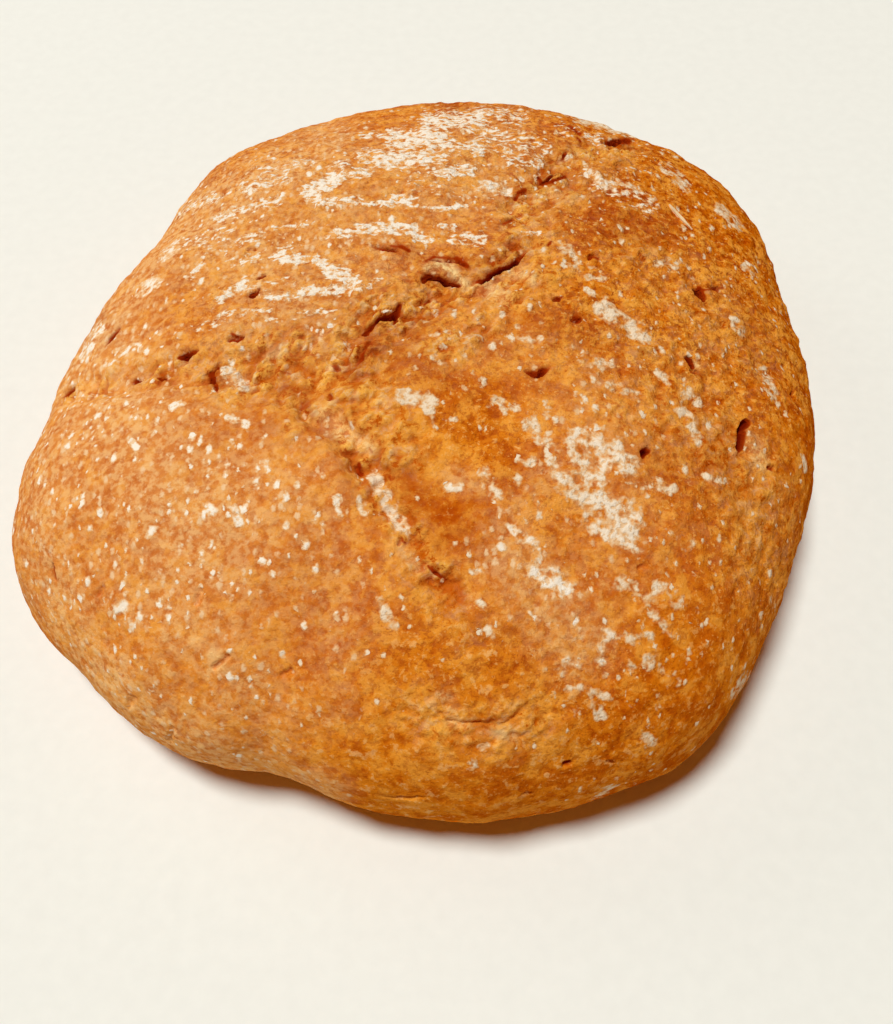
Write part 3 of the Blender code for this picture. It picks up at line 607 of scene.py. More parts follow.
class CrustLook(bpy.types.PropertyGroup):
    """Colours of the baked crust"""

    orange: colour("Orange", "The crust's middle colour", (219, 119, 12))
    # Deep is also the painted shade in the creases of the torn dough
    deep: colour("Deep", "Darker baked areas", (191, 84, 2))
    gold: colour("Gold", "Paler baked areas", (246, 166, 60))
    # Painted light: the brighter amber laid where the light falls on the front and lower left
    painted_light_amber: colour("Amber", "Smooth, brighter crust", (240, 148, 34))
    # Pale is flour bloom, and also painted light: the veil's brightening and the highlights where the
    # painted light lies
    pale: colour("Pale", "The palest bloom on the crust", (250, 203, 138))
    # Brown is the crust's dark flecks, and also painted shade in the low places of the fine bump
    brown: colour("Brown", "Dark flecks of the crust", (160, 54, 0))
    torn: colour("Torn", "Rough dough where the crust opened", (254, 188, 82))
    crumb: colour("Crumb", "Pale strands of open crumb", (255, 218, 152))
    # Toast is also painted shade: at the mouth of the tear, beside the cracks and in shallow hollows
    toast_and_shade: colour("Toast", "Lips that stood proud in the oven", (164, 52, 4))
    # Painted shade: the dark colour laid at the bottom of cracks and gas holes, the deeper the darker
    hollow_shade: colour("Hollow", "The bottom of cracks and gas holes", (116, 22, 2))
    roughness: FloatProperty(
        name="Roughness", description="Dullness of the crust", default=0.62, min=0, max=1
    )


class FlourLook(bpy.types.PropertyGroup):
    """The dusting of flour"""

    # Painted light and shade on the flour: flour and dust are its white, lit copies in the streaks and
    # veil; the clump and film colours are greyer copies, painted shade for the flour on the right and
    # front
    flour: colour("Flour", "Dry flour on the crust", (252, 240, 222))
    dust: colour("Dust", "The thinnest flour beside the dry flour", (242, 200, 150))
    shaded_clump: colour("Clump", "Flour in small clumps on the right and front", (243, 221, 191))
    shaded_film: colour("Film", "The thinnest flour beside the small clumps", (230, 184, 132))
    grain: length("Grain", "Size of one speck of flour", 0.0021)
    husk: colour("Husk", "A pale sliver of husk on the crust", (246, 216, 170))
    husk_width: length("Husk width", "Width of the sliver of husk", 0.0012)


class StageLook(bpy.types.PropertyGroup):
    """Floor, light and camera"""

    floor: colour("Floor", "The pale floor", (242, 243, 237))
    key: FloatProperty(name="Key light", description="From above, a little behind", default=2.86, min=0)
    side: FloatProperty(name="Side light", description="From the back left", default=1.2, unit="POWER")
    sky: FloatProperty(name="Sky", description="Warm light from all round", default=0.14, min=0)


# ---------------------------------------------------------------- working out the form
def outline_radius(direction):
    """Radius of the widest line: a smooth closed curve through OUTLINE."""
    knots = np.radians(list(OUTLINE))
    radii = np.array(metres(OUTLINE.values()))
    turn = 2 * math.pi
    knots = np.concatenate([knots[-1:] - turn, knots, knots[:2] + turn])
    radii = np.concatenate([radii[-1:], radii, radii[:2]])
    direction = np.mod(direction, turn)
    i = np.clip(np.searchsorted(knots, direction, side="right") - 1, 1, len(knots) - 3)
    step = knots[i + 1] - knots[i]
    t = (direction - knots[i]) / step
    slope_in = (radii[i + 1] - radii[i - 1]) / (knots[i + 1] - knots[i - 1]) * step
    slope_out = (radii[i + 2] - radii[i]) / (knots[i + 2] - knots[i]) * step
    return (
        (2 * t**3 - 3 * t**2 + 1) * radii[i]
        + (t**3 - 2 * t**2 + t) * slope_in
        + (3 * t**2 - 2 * t**3) * radii[i + 1]
        + (t**3 - t**2) * slope_out
    )


def tuck_depth(direction, form):
    """How far the side draws in below the widest line."""
    middle, spread, extra = LIFTED_EDGE
    away = np.mod(np.degrees(direction) - middle + 180, 360) - 180
    return form.tuck + extra * np.exp(-((away / spread) ** 2))


def side_profile(form):
    """The side from the crown down: length run, share of the radius, share of the tuck, height."""
    crown = np.linspace(0, math.pi / 2, PROFILE_STEPS)
    share = np.sin(crown) ** (2 / form.crown)
    height = form.widest + (form.height - form.widest) * np.cos(crown) ** (2 / form.crown)
    under = crown[1:]
    drop = form.widest + SIDE_BELOW_FLOOR
    share = np.concatenate([share, np.ones(len(under))])
    tuck = np.concatenate([np.zeros(len(crown)), 1 - np.cos(under)])
    height = np.concatenate([height, form.widest - drop * np.sin(under)])
    across = np.mean(metres(OUTLINE.values())) * share - form.tuck * tuck
    run = np.concatenate([[0], np.cumsum(np.hypot(np.diff(across), np.diff(height)))])
    return run / run[-1], share, tuck, height


def plain_form(unit, form):
    """Points of the plain loaf for points of a unit sphere."""
    direction = np.arctan2(unit[:, 1], unit[:, 0])
    down = np.arccos(np.clip(unit[:, 2], -1, 1)) / FOOT_ANGLE
    run, share, tuck, height = side_profile(form)
    radius = outline_radius(direction) * np.interp(down, run, share)
    radius = radius - tuck_depth(direction, form) * np.interp(down, run, tuck)
    beyond = np.clip(down - 1, 0, None)
    radius = radius * (1 - beyond)
    level = np.interp(down, run, height) - beyond * form.height
    return np.column_stack([radius * np.cos(direction), radius * np.sin(direction), level])


def on_crown(plan, form):
    """The points of the plain crown over plan points."""
    plan = np.array(plan, dtype=float).reshape(-1, 2)
    radius = outline_radius(np.arctan2(plan[:, 1], plan[:, 0]))
    share = np.clip(np.hypot(plan[:, 0], plan[:, 1]) / radius, 0, 1)
    angle = np.arcsin(share ** (form.crown / 2))
    rise = (form.height - form.widest) * np.cos(angle) ** (2 / form.crown)
    return np.column_stack([plan, form.widest + rise])


def to_line(points, line):
    """Distance to a line of points, how far along from its nearer end, and the way from the line."""
    nearest = np.full(len(points), np.inf)
    along = np.zeros(len(points))
    way = np.zeros(points.shape)
    lengths = np.linalg.norm(np.diff(line, axis=0), axis=1)
    start = np.concatenate([[0], np.cumsum(lengths)])
    for i, span in enumerate(lengths):
        step = line[i + 1] - line[i]
        t = np.clip((points - line[i]) @ step / max(span * span, 1e-12), 0, 1)
        offset = points - line[i] - t[:, None] * step
        distance = np.linalg.norm(offset, axis=1)
        closer = distance < nearest
        nearest[closer] = distance[closer]
        along[closer] = (start[i] + t * span)[closer]
        way[closer] = offset[closer]
    return nearest, np.minimum(along, start[-1] - along), way


def pit_line(x, y, span, turn, form):
    """The two ends of a pit's length."""
    half = span / 2
    reach = np.array([math.cos(math.radians(turn)), math.sin(math.radians(turn))]) * half
    return on_crown([np.array([x, y]) - reach, np.array([x, y]) + reach], form)


def noise_at(points, size, seed):
    """Smooth noise from -1 to 1 whose bumps are about this size."""
    shift = Vector([seed * step for step in NOISE_SHIFT])
    return np.array([noise.noise(Vector(p) / size + shift) for p in points])


def lumps_at(points, size, seed):
    """Rounded lumps drawn out from front left to back right, from -1 in the creases to 1 on top."""
    shift = Vector([seed * step for step in LUMP_SHIFT])
    along = (points[:, 0] + points[:, 1]) * (CRUMB_DRAWN_OUT - 1) / 2
    points = points + np.column_stack([along, along, np.zeros(len(points))])
    nearest = np.array([noise.voronoi(Vector(p) / size + shift)[0][0] for p in points])
    return 1 - 2 * np.clip(nearest / CRUMB_LUMP_REACH, 0, 1) ** 2


def wandered(points, size, distance):
    """The points moved about a little, so that what is measured from them has uneven edges."""
    moves = [noise_at(points, size, seed) for seed in WANDER_SEEDS]
    return points + distance * np.column_stack(moves)


def shade_of_depth(depth):
    """How much painted shade a crack or pit of this depth gets at its bottom."""
    return min(1, max(0, (depth - SHADE_FROM) / (SHADE_FULL_AT - SHADE_FROM)))


def broad_relief(points, form):
    """Lumps and swells all over the crust."""
    out = np.zeros(len(points))
    for seed, (size, height) in enumerate(LUMPS):
        out += height * noise_at(points, size, seed)
    for x, y, reach, height in SWELLS:
        away = np.linalg.norm(points - on_crown((x, y), form), axis=1)
        out += height * np.exp(-((away / reach) ** 2))
    return out


def tears(points, form):
    """How deep the valleys are, and how torn the crust is."""
    moved = wandered(points, *VALLEY_WANDER)
    rough = noise_at(points, ROUGHNESS_SIZE, ROUGHNESS_SEED)
    dip = np.zeros(len(points))
    torn = np.zeros(len(points))
    for (depth, half_width, roughness), plan in VALLEYS:
        away = to_line(moved, on_crown(plan, form))[0]
        inside = np.exp(-((away / half_width) ** 3))
        dip = np.maximum(dip, inside * (depth - roughness * rough))
        torn = np.maximum(torn, inside * min(1, depth / TORN_FULLY_AT))
    for strength, half_width, plan in CRUMBLY:
        away = to_line(moved, on_crown(metres(plan), form))[0]
        torn = np.maximum(torn, strength * np.exp(-((away / metres(half_width)) ** 2)))
    size, share, least = TORN_UNEVEN
    torn *= np.clip(share + share * noise_at(points, size, TORN_SEED), least, 1)
    return dip, torn


def crumbs(points, torn):
    """How far the crumbs of torn dough stand out, and how much painted shade lies in the creases
    between them.
    """
    out = np.zeros(len(points))
    crease_shade = np.zeros(len(points))
    crumbly = torn > CRUMBLY_FROM
    for seed, (size, height) in enumerate(CRUMB_LUMPS):
        lumps = lumps_at(points[crumbly], size, seed)
        out[crumbly] += torn[crumbly] * height * lumps
        crease_shade[crumbly] += torn[crumbly] * np.clip(-lumps, 0, 1) * CREASE_SHADE_FADE**seed
    return out, np.clip(crease_shade, 0, 1)


def crust_relief(points, flaky, form):
    """How far the crust stands out, how torn it is, its scorching, and its painted shade."""
    dip, torn = tears(points, form)
    crumb_height, crease_shade = crumbs(points, torn)
    out = broad_relief(points, form) - dip + crumb_height
    for seed, (size, height) in enumerate(GRAIN):
        out += height * (GRAIN_LEAST + flaky) * noise_at(points, size, GRAIN_SEED + seed)
    moved = wandered(wandered(points, *CRACK_WANDER), *FINE_WANDER)
    for (height, half_width), plan in RIDGES:
        away = to_line(moved, on_crown(plan, form))[0]
        out += height * np.exp(-((away / half_width) ** 2))
    hollow_shade = np.zeros(len(points))
    scorched_and_shaded = np.zeros(len(points))
    for (depth, half_width, lip), plan in CRACKS:
        away, from_end, _ = to_line(moved, on_crown(plan, form))
        ending = np.sqrt(np.clip(from_end / CRACK_END, TIP_DEPTH, 1))
        width = half_width * (TIP_WIDTH + (1 - TIP_WIDTH) * ending)
        groove = ending * np.clip(1 - (away / width) ** WALL_CURVE, 0, 1)
        out -= depth * groove
        out += lip * ending * np.exp(-(((away / half_width) - LIP_DISTANCE) ** 2))
        # Painted shade at the bottom of the crack, by its depth
        hollow_shade = np.maximum(hollow_shade, groove * shade_of_depth(depth))
        # Scorching and painted shade beside the crack, stronger by its depth
        near = np.exp(-((away / half_width / SCORCH_AND_SHADE_REACH) ** 2)) * ending
        scorched_and_shaded = np.maximum(scorched_and_shaded, near * shade_of_depth(depth))
    for turn, sizes in PITS:
        *place, half_width, depth = metres(sizes)
        away = to_line(moved, pit_line(*place, turn, form))[0]
        groove = np.clip(1 - (away / half_width) ** 2, 0, 1)
        out -= depth * groove
        # Painted shade in the pit, by its depth
        hollow_shade = np.maximum(hollow_shade, groove * shade_of_depth(depth))
    return out, {"torn": torn, "hollow_shade": hollow_shade, "scorched_and_shaded": scorched_and_shaded, "crease_shade": crease_shade}


def overhang(points, form):
    """Sideways moves that hang the upper lips over their cracks."""
    moves = np.zeros((len(points), 3))
    for number, way_over, distance in OVERHANGS:
        (_, half_width, _), plan = CRACKS[number]
        away, from_end, way = to_line(points, on_crown(plan, form))
        lean = np.array([*way_over, 0]) / np.linalg.norm(way_over)
        behind = np.clip(-(way @ lean) / half_width, 0, 1)
        near = np.exp(-((away / half_width / OVERHANG_REACH) ** 2))
        ending = np.clip(from_end / CRACK_END, 0, 1)
        moves += (distance * behind * near * ending)[:, None] * lean
    return moves


def fine_lines(form):
    """The lines round which the mesh is finest."""
    lines = [on_crown(plan, form) for _, plan in CRACKS]
    return lines + [pit_line(*metres(sizes[:3]), turn, form) for turn, sizes in PITS]


def halve_edges(bm, chosen):
    """Halves the edges of the chosen faces and draws the new points out to the sphere."""
    edges = {edge for face, inside in zip(bm.faces, chosen) if inside for edge in face.edges}
    edges = sorted(edges, key=lambda edge: edge.index)
    bmesh.ops.subdivide_edges(bm, edges=edges, cuts=1, use_grid_fill=True)
    bmesh.ops.triangulate(bm, faces=[face for face in bm.faces if len(face.verts) > 3])
    for vert in bm.verts:
        vert.co.normalize()
    bm.verts.index_update()
    bm.edges.index_update()
    bm.faces.index_update()


def face_places(bm, form):
    """Where the middles of the sphere's faces lie on the plain form."""
    middles = np.array([face.calc_center_median()[:] for face in bm.faces])
    middles /= np.linalg.norm(middles, axis=1)[:, None]
    return plain_form(middles, form)


def crust_sphere(form):
    """A sphere that is finer over the crown, and finest round tears, cracks and pits."""
    bm = bmesh.new()
    bmesh.ops.create_icosphere(bm, subdivisions=form.divisions, radius=1)
    halve_edges(bm, face_places(bm, form)[:, 2] > CROWN_ABOVE)
    places = face_places(bm, form)
    near = np.zeros(len(places), dtype=bool)
    for line in fine_lines(form):
        near |= to_line(places, line)[0] < FINER_WITHIN_CRACKS
    for _, plan in VALLEYS:
        near |= to_line(places, on_crown(plan, form))[0] < FINER_WITHIN_TEARS
    for strength, half_width, plan in CRUMBLY:
        if strength > FINER_IF_CRUMBLY:
            reach = metres(half_width) * FINER_SHARE_OF_CRUMBLY
            near |= to_line(places, on_crown(metres(plan), form))[0] < reach
    halve_edges(bm, near)
    return bm


def points_of(bm):
    return np.array([vert.co[:] for vert in bm.verts])


def normals_of(bm):
    bm.normal_update()
    return np.array([vert.normal[:] for vert in bm.verts])


def place_points(bm, points):
    for vert, place in zip(bm.verts, points):
        vert.co = place


def cut_flat(bm):
    """Cuts the form off at the floor and closes the flat base."""
    geometry = bm.verts[:] + bm.edges[:] + bm.faces[:]
    bmesh.ops.bisect_plane(
        bm, geom=geometry, dist=1e-6, plane_co=(0, 0, 0), plane_no=(0, 0, -1), clear_outer=True
    )
    rim = [edge for edge in bm.edges if edge.is_boundary]
    bmesh.ops.contextual_create(bm, geom=rim)
    bmesh.ops.triangulate(bm, faces=[face for face in bm.faces if len(face.verts) > 3])
    bmesh.ops.recalc_face_normals(bm, faces=bm.faces[:])


def keep_in_box(bm):
    """Holds the crust's last points inside the solid's own box."""
    low, high = (np.array(corner) for corner in CAD_BOX)
    place_points(bm, np.clip(points_of(bm), low, high))


# ---------------------------------------------------------------- places read from the picture
def camera_frame():
    """The camera's place and its right, up and forward directions."""
    forward = np.array([0, math.cos(CAMERA_ELEVATION), -math.sin(CAMERA_ELEVATION)])
    up = np.array([0, math.sin(CAMERA_ELEVATION), math.cos(CAMERA_ELEVATION)])
    place = np.array(CAMERA_AIM) - CAMERA_DISTANCE * forward
    return place, np.array([1.0, 0, 0]), up, forward


def focal_pixels():
    return PICTURE_SIZE[0] / 2 / math.tan(VIEW_ANGLE_ACROSS / 2)


def in_picture(points):
    """Where points show in the picture, in its pixels, and the way from the camera to them."""
    place, right, up, forward = camera_frame()
    way = points - place
    depth = way @ forward
    across = PICTURE_SIZE[0] / 2 + focal_pixels() * (way @ right) / depth
    down = PICTURE_SIZE[1] / 2 - focal_pixels() * (way @ up) / depth
    return np.column_stack([across, down]), way / np.linalg.norm(way, axis=1)[:, None]


def spread(points, normals, places, power=2):
    """How strongly each point is covered by places given in the picture's pixels."""
    seen, way = in_picture(points)
    facing = np.clip((FACING_FROM - np.sum(way * normals, axis=1)) / FACING_SPAN, 0, 1)
    clear = np.ones(len(points))
    for x1, y1, x2, y2, half_width, strength in places:
        away = to_line(seen, np.array([[x1, y1], [x2, y2]], dtype=float))[0]
        clear *= 1 - strength * np.exp(-((away / half_width) ** power))
    return (1 - clear) * facing


def store(mesh, name, values):
    """Keeps one number for each point of a mesh, for its material to read."""
    attribute = mesh.attributes.new(name, "FLOAT", "POINT")
    attribute.data.foreach_set("value", np.asarray(values, dtype=np.float32))


# ---------------------------------------------------------------- materials
class Nodes:
    """Short ways to write a material's nodes."""

    def __init__(self, name):
        self.material = bpy.data.materials.new(name)
        self.material.use_nodes = True
        self.tree = self.material.node_tree
        self.shader = self.tree.nodes["Principled BSDF"]
        self.place = self.add("ShaderNodeTexCoord").outputs["Object"]

    def add(self, kind, **settings):
        node = self.tree.nodes.new(kind)
        for name, value in settings.items():
            setattr(node, name, value)
        return node

    def feed(self, socket, value):
        """Links a socket, or sets it where the value is a plain one."""
        if isinstance(value, bpy.types.NodeSocket):
            self.tree.links.new(value, socket)
        else:
            socket.default_value = value

    def math(self, operation, *values):
        node = self.add("ShaderNodeMath", operation=operation)
        for socket, value in zip(node.inputs, values):
            self.feed(socket, value)
        return node.outputs[0]

    def times(self, first, *others):
        """The product of all the values."""
        for value in others:
            first = self.math("MULTIPLY", first, value)
        return first

    def most(self, first, *others):
        """The greatest of all the values."""
        for value in others:
            first = self.math("MAXIMUM", first, value)
        return first

    def line(self, value, slope, start):
        """A value times a slope, added to a start."""
        return self.math("MULTIPLY_ADD", value, slope, start)

    def step(self, value, low, high):
        """A smooth step from 0 at low to 1 at high."""
        node = self.add("ShaderNodeMapRange", interpolation_type="SMOOTHSTEP")
        self.feed(node.inputs["Value"], value)
        self.feed(node.inputs["From Min"], low)
        self.feed(node.inputs["From Max"], high)
        return node.outputs["Result"]

    def attribute(self, name):
        return self.add("ShaderNodeAttribute", attribute_name=name).outputs["Fac"]

    def drawn_out(self, shares):
        """The place on the piece, with each axis multiplied by its share."""
        node = self.add("ShaderNodeVectorMath", operation="MULTIPLY")
        self.feed(node.inputs[0], self.place)
        node.inputs[1].default_value = shares
        return node.outputs[0]

    def noise(self, size, detail=2, roughness=0.5, distortion=0, place=None, output="Fac"):
        node = self.add("ShaderNodeTexNoise")
        self.feed(node.inputs["Vector"], place or self.place)
        node.inputs["Scale"].default_value = 1 / size
        node.inputs["Detail"].default_value = detail
        node.inputs["Roughness"].default_value = roughness
        node.inputs["Distortion"].default_value = distortion
        return node.outputs[output]

    def cells(self, size, place):
        """Distance to the nearest speck's middle, in speck sizes, and two random numbers of it."""
        node = self.add("ShaderNodeTexVoronoi")
        self.feed(node.inputs["Vector"], place)
        node.inputs["Scale"].default_value = 1 / size
        parts = self.add("ShaderNodeSeparateColor")
        self.feed(parts.inputs["Color"], node.outputs["Color"])
        return node.outputs["Distance"], parts.outputs[0], parts.outputs[1]

    def blend(self, share, first, second):
        """Mixes two colours, each a socket or a plain colour."""
        node = self.add("ShaderNodeMix", data_type="RGBA")
        self.feed(node.inputs[MIX_SHARE], share)
        for slot, shown in ((MIX_FIRST, first), (MIX_SECOND, second)):
            linked = isinstance(shown, bpy.types.NodeSocket)
            self.feed(node.inputs[slot], shown if linked else (*shown, 1.0))
        return node.outputs[MIX_RESULT]

    def bump(self, height, strength, depth):
        """Raises the surface by a height, in shares of a depth."""
        node = self.add("ShaderNodeBump")
        node.inputs["Strength"].default_value = strength
        node.inputs["Distance"].default_value = depth
        self.feed(node.inputs["Height"], height)
        self.feed(self.shader.inputs["Normal"], node.outputs["Normal"])


def layered(nodes, known, look, shown, layers):
    """Colours laid over a first one, each as far as its pattern and its strength say."""
    for pattern, reach, strength, added, mark, name in layers:
        share = known[pattern] if reach is None else nodes.step(known[pattern], *reach)
        if mark:
            strength = nodes.line(known[mark], added, strength)
        shown = nodes.blend(nodes.times(share, strength), shown, getattr(look, name))
    return shown


def scattered(nodes, size, chance_by, reach):
    """Soft round specks, one to a cell, that are there as often as a share says."""
    shift = nodes.add("ShaderNodeVectorMath", operation="MULTIPLY_ADD")
    nodes.feed(shift.inputs[0], nodes.noise(size * SPECK_WOBBLE_SIZE, detail=1, output="Color"))
    shift.inputs[1].default_value = (size * SPECK_WOBBLE,) * 3
    nodes.feed(shift.inputs[2], nodes.drawn_out(SPECK_DRAWN_OUT))
    away, chance, girth = nodes.cells(size, shift.outputs[0])
    there = nodes.math("LESS_THAN", chance, chance_by)
    radius = nodes.line(girth, *(reach * girths for girths in SPECK_GIRTHS))
    outer, inner = SPECK_EDGE
    outer = nodes.math("ADD", radius, outer)
    inner = nodes.math("SUBTRACT", radius, inner)
    return nodes.times(nodes.step(away, outer, inner), there)


def clumped(nodes, density, pattern, edge):
    """Clumps that fill their patch as its density rises, with soft uneven edges."""
    open_until, moved, softness = edge
    bare = nodes.math("POWER", nodes.math("SUBTRACT", 1.0, density), EDGE_CURVE)
    low = nodes.line(bare, moved, open_until)
    clumps = nodes.step(pattern, low, nodes.math("ADD", low, softness))
    return nodes.times(clumps, nodes.step(density, *PATCH_REACH))


def thinned(nodes, value, size, reach, left):
    """A value made uneven by noise of its own."""
    return nodes.times(value, nodes.line(nodes.step(nodes.noise(size), *reach), *left))


def flour_cover(nodes, known, grain):
    """Share of the crust hidden by flour: clumps where it lies thick, round specks elsewhere."""
    density, streaks = known["flour"], known["streaks"]
    along = nodes.drawn_out(STREAK_DRAWN_OUT)
    bands = nodes.noise(grain * BAND_SIZE, detail=3, roughness=BAND_ROUGHNESS, place=along)
    clumps = clumped(nodes, density, nodes.noise(grain * CLUMP_SIZE), CLUMP_EDGE)
    clumps = nodes.times(clumps, nodes.line(density, *CLUMP_THICKNESS))
    cover = thinned(nodes, nodes.most(clumps, clumped(nodes, streaks, bands, STREAK_EDGE)), *GAPS)
    in_patches = nodes.times(density, SPECKS_IN_PATCHES)
    in_streaks = nodes.times(streaks, SPECKS_IN_STREAKS)
    often = thinned(nodes, nodes.most(known["specks"], in_patches, in_streaks), *GROUPS_OF_SPECKS)
    follows = {"often": often, "veil_and_light": known["veil_and_light"]}
    for followed, size, chance, reach, hides in SPECK_KINDS:
        kind = scattered(nodes, grain * size, nodes.times(follows[followed], chance), reach)
        cover = nodes.most(cover, nodes.times(kind, hides))
    return cover


def baked_colour(nodes, known, look):
    """Mottled orange crust, torn gold, over-baked lips, crumb, painted light, and painted shade."""
    flakes = nodes.line(known["veil_and_light"], *FLAKES_BY_VEIL_AND_LIGHT)
    known["flakes"] = nodes.line(known["flaky"], FLAKES_BY_FLAKY, flakes)
    scorched_and_shaded = nodes.times(known["scorched_and_shaded"], SCORCH_AND_SHADE_STRENGTH)
    uneven = nodes.line(nodes.step(known["flecks"], *TOAST_AND_SHADE_REACH), *TOAST_AND_SHADE_STRENGTH)
    known["toasted_and_shaded"] = nodes.times(nodes.most(known["toast_and_shade"], scorched_and_shaded), uneven)
    strands = nodes.line(nodes.step(known["crumbs"], *STRAND_REACH), *STRAND_STRENGTH)
    known["strands"] = nodes.times(known["crumb"], strands)
    baked = layered(nodes, known, look, look.orange, BAKING)
    dough = layered(nodes, known, look, look.torn, OPEN_DOUGH)
    both = nodes.blend(nodes.times(known["torn"], TORN_STRENGTH), baked, dough)
    return layered(nodes, known, look, both, OVER_BOTH)


def crust_relief_bump(nodes, known, cover):
    """The finest unevenness of the crust, its torn dough and its flour."""
    flaky = nodes.line(known["flaky"], *RELIEF_BY_FLAKY)
    relief = nodes.times(known["flecks"], flaky)
    relief = nodes.line(known["grain"], nodes.times(flaky, RELIEF_OF_GRAIN), relief)
    relief = nodes.line(nodes.times(known["torn"], known["crumbs"]), RELIEF_OF_TORN, relief)
    nodes.bump(nodes.line(cover, RELIEF_OF_FLOUR, relief), 1.0, RELIEF_DEPTH)


def crust_material(look, flour_look):
    """The baked crust with flour over all."""
    nodes = Nodes("baked_crust")
    known = {name: nodes.attribute(name) for name in MARKS}
    known.update((name, nodes.noise(*pattern)) for name, pattern in PATTERNS.items())
    baked = baked_colour(nodes, known, look)
    clear = nodes.step(known["hollow_shade"], *CLEAR_OF_HOLLOWS)
    cover = nodes.times(flour_cover(nodes, known, flour_look.grain), clear)
    # Painted light and shade: white flour in the streaks and veil, greyer copies elsewhere
    lit_flour = nodes.most(known["streaks"], nodes.times(known["veil_and_light"], LIT_FLOUR_IN_VEIL_AND_LIGHT))
    lit_flour = nodes.step(lit_flour, *LIT_FLOUR_REACH)
    thin = nodes.blend(lit_flour, flour_look.shaded_film, flour_look.dust)
    thick = nodes.blend(lit_flour, flour_look.shaded_clump, flour_look.flour)
    dusted = nodes.blend(nodes.step(cover, *THIN_REACH), baked, thin)
    dusted = nodes.blend(nodes.step(cover, *THICK_REACH), dusted, thick)
    nodes.feed(nodes.shader.inputs["Base Color"], dusted)
    nodes.feed(nodes.shader.inputs["Roughness"], nodes.line(cover, FLOUR_ROUGHNESS, look.roughness))
    nodes.shader.inputs["Specular IOR Level"].default_value = 0.0
    crust_relief_bump(nodes, known, cover)
    return nodes.material


def plain_material(name, shown, roughness, size, depth):
    """A dull surface with a little unevenness."""
    nodes = Nodes(name)
    speckle = nodes.noise(size, detail=3)
    darker = tuple(value * SPECKLE_DARKER for value in shown)
    nodes.feed(nodes.shader.inputs["Base Color"], nodes.blend(speckle, darker, shown))
    nodes.shader.inputs["Roughness"].default_value = roughness
    nodes.bump(speckle, SPECKLE_BUMP, depth)
    return nodes.material


# ---------------------------------------------------------------- building
def part_mesh(name, points, faces, normals):
    """A mesh of some of the crust's faces that keeps the whole crust's smooth normals."""
    used, corners = np.unique(faces, return_inverse=True)
    mesh = bpy.data.meshes.new(name)
    mesh.from_pydata(points[used].tolist(), [], corners.reshape(-1, 3).tolist())
    mesh.shade_smooth()
    mesh.normals_split_custom_set_from_vertices(normals[used].tolist())
    return mesh, used


def new_object(name, mesh, material):
    mesh.materials.append(material)
    made = bpy.data.objects.new(name, mesh)
    bpy.context.scene.collection.objects.link(made)
    return made


def carry(bm, marks):
    """Lets a mesh's points carry marks, so that cutting it keeps them."""
    for name, values in marks.items():
        layer = bm.verts.layers.float.new(name)
        for vert, value in zip(bm.verts, values):
            vert[layer] = value


def carried(bm, name):
    layer = bm.verts.layers.float[name]
    return np.array([vert[layer] for vert in bm.verts])


def crust_form(form):
    """The crust's points, normals, faces, the level of each point on the plain form, and its marks."""
    bm = crust_sphere(form)
    plain = plain_form(points_of(bm), form)
    place_points(bm, plain)
    normals = normals_of(bm)
    flaky = spread(plain, normals, FLAKY)
    out, marks = crust_relief(plain, flaky, form)
    marks["flaky"] = flaky
    place_points(bm, plain + normals * out[:, None] + overhang(plain, form))
    carry(bm, {**marks, "level": plain[:, 2]})
    cut_flat(bm)
    keep_in_box(bm)
    normals = normals_of(bm)
    faces = np.array([[vert.index for vert in face.verts] for face in bm.faces])
    points, level = points_of(bm), carried(bm, "level")
    marks = {name: carried(bm, name) for name in marks}
    bm.free()
    return points, normals, faces, level, marks


def add_picture_marks(marks, points, normals):
    """Marks the places that are read from the picture."""
    for name, places in {"flour": FLOUR, "streaks": STREAKS}.items():
        marks[name] = spread(points, normals, places, FLOUR_POWER)
    soft = {"specks": SPECKS, "veil_and_light": VEIL_AND_LIGHT, "toast_and_shade": TOASTED_AND_SHADED, "crumb": CRUMB}
    soft.update(golden=PAINTED_LIGHT, deeper=DEEPER)
    for name, places in soft.items():
        marks[name] = spread(points, normals, places)
    # Painted shade of thin cracks and small holes, laid into the hollows' painted shade
    painted = spread(points, normals, PAINTED_SHADE_LINES) * PAINTED_SHADE_STRENGTH
    marks["hollow_shade"] = np.maximum(marks["hollow_shade"], painted)


class LOAF_OT_crust(bpy.types.Operator):
    """Builds the loaf's crust in place of the plain solid"""

    bl_idname = "loaf.crust"
    bl_label = "Crust"

    def execute(self, context):
        points, normals, faces, level, marks = crust_form(context.scene.loaf_form)
        add_picture_marks(marks, points, normals)
        crown = level[faces].mean(axis=1) > CROWN_ABOVE
        right = points[faces, 0].mean(axis=1) > 0
        parts = {"crust_left": crown & ~right, "crust_right": crown & right, "crust_side": ~crown}
        look = crust_material(context.scene.crust_look, context.scene.flour_look)
        for name, chosen in parts.items():
            mesh, used = part_mesh(name, points, faces[chosen], normals)
            for mark in MARKS:
                store(mesh, mark, marks[mark][used])
            piece = new_object(name, mesh, look)
            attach(piece, "root")
            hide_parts("loaf")
        return {"FINISHED"}


def on_crust(across, down):
    """The point of the crust that shows at a place in the picture."""
    place, right, up, forward = camera_frame()
    across -= PICTURE_SIZE[0] / 2
    down -= PICTURE_SIZE[1] / 2
    way = forward + (across * right - down * up) / focal_pixels()
    for name in ("crust_left", "crust_right"):
        found, point, normal, _ = bpy.data.objects[name].ray_cast(place, way)
        if found:
            return np.array(point), np.array(normal)
    raise RuntimeError("No crust shows at this place in the picture")


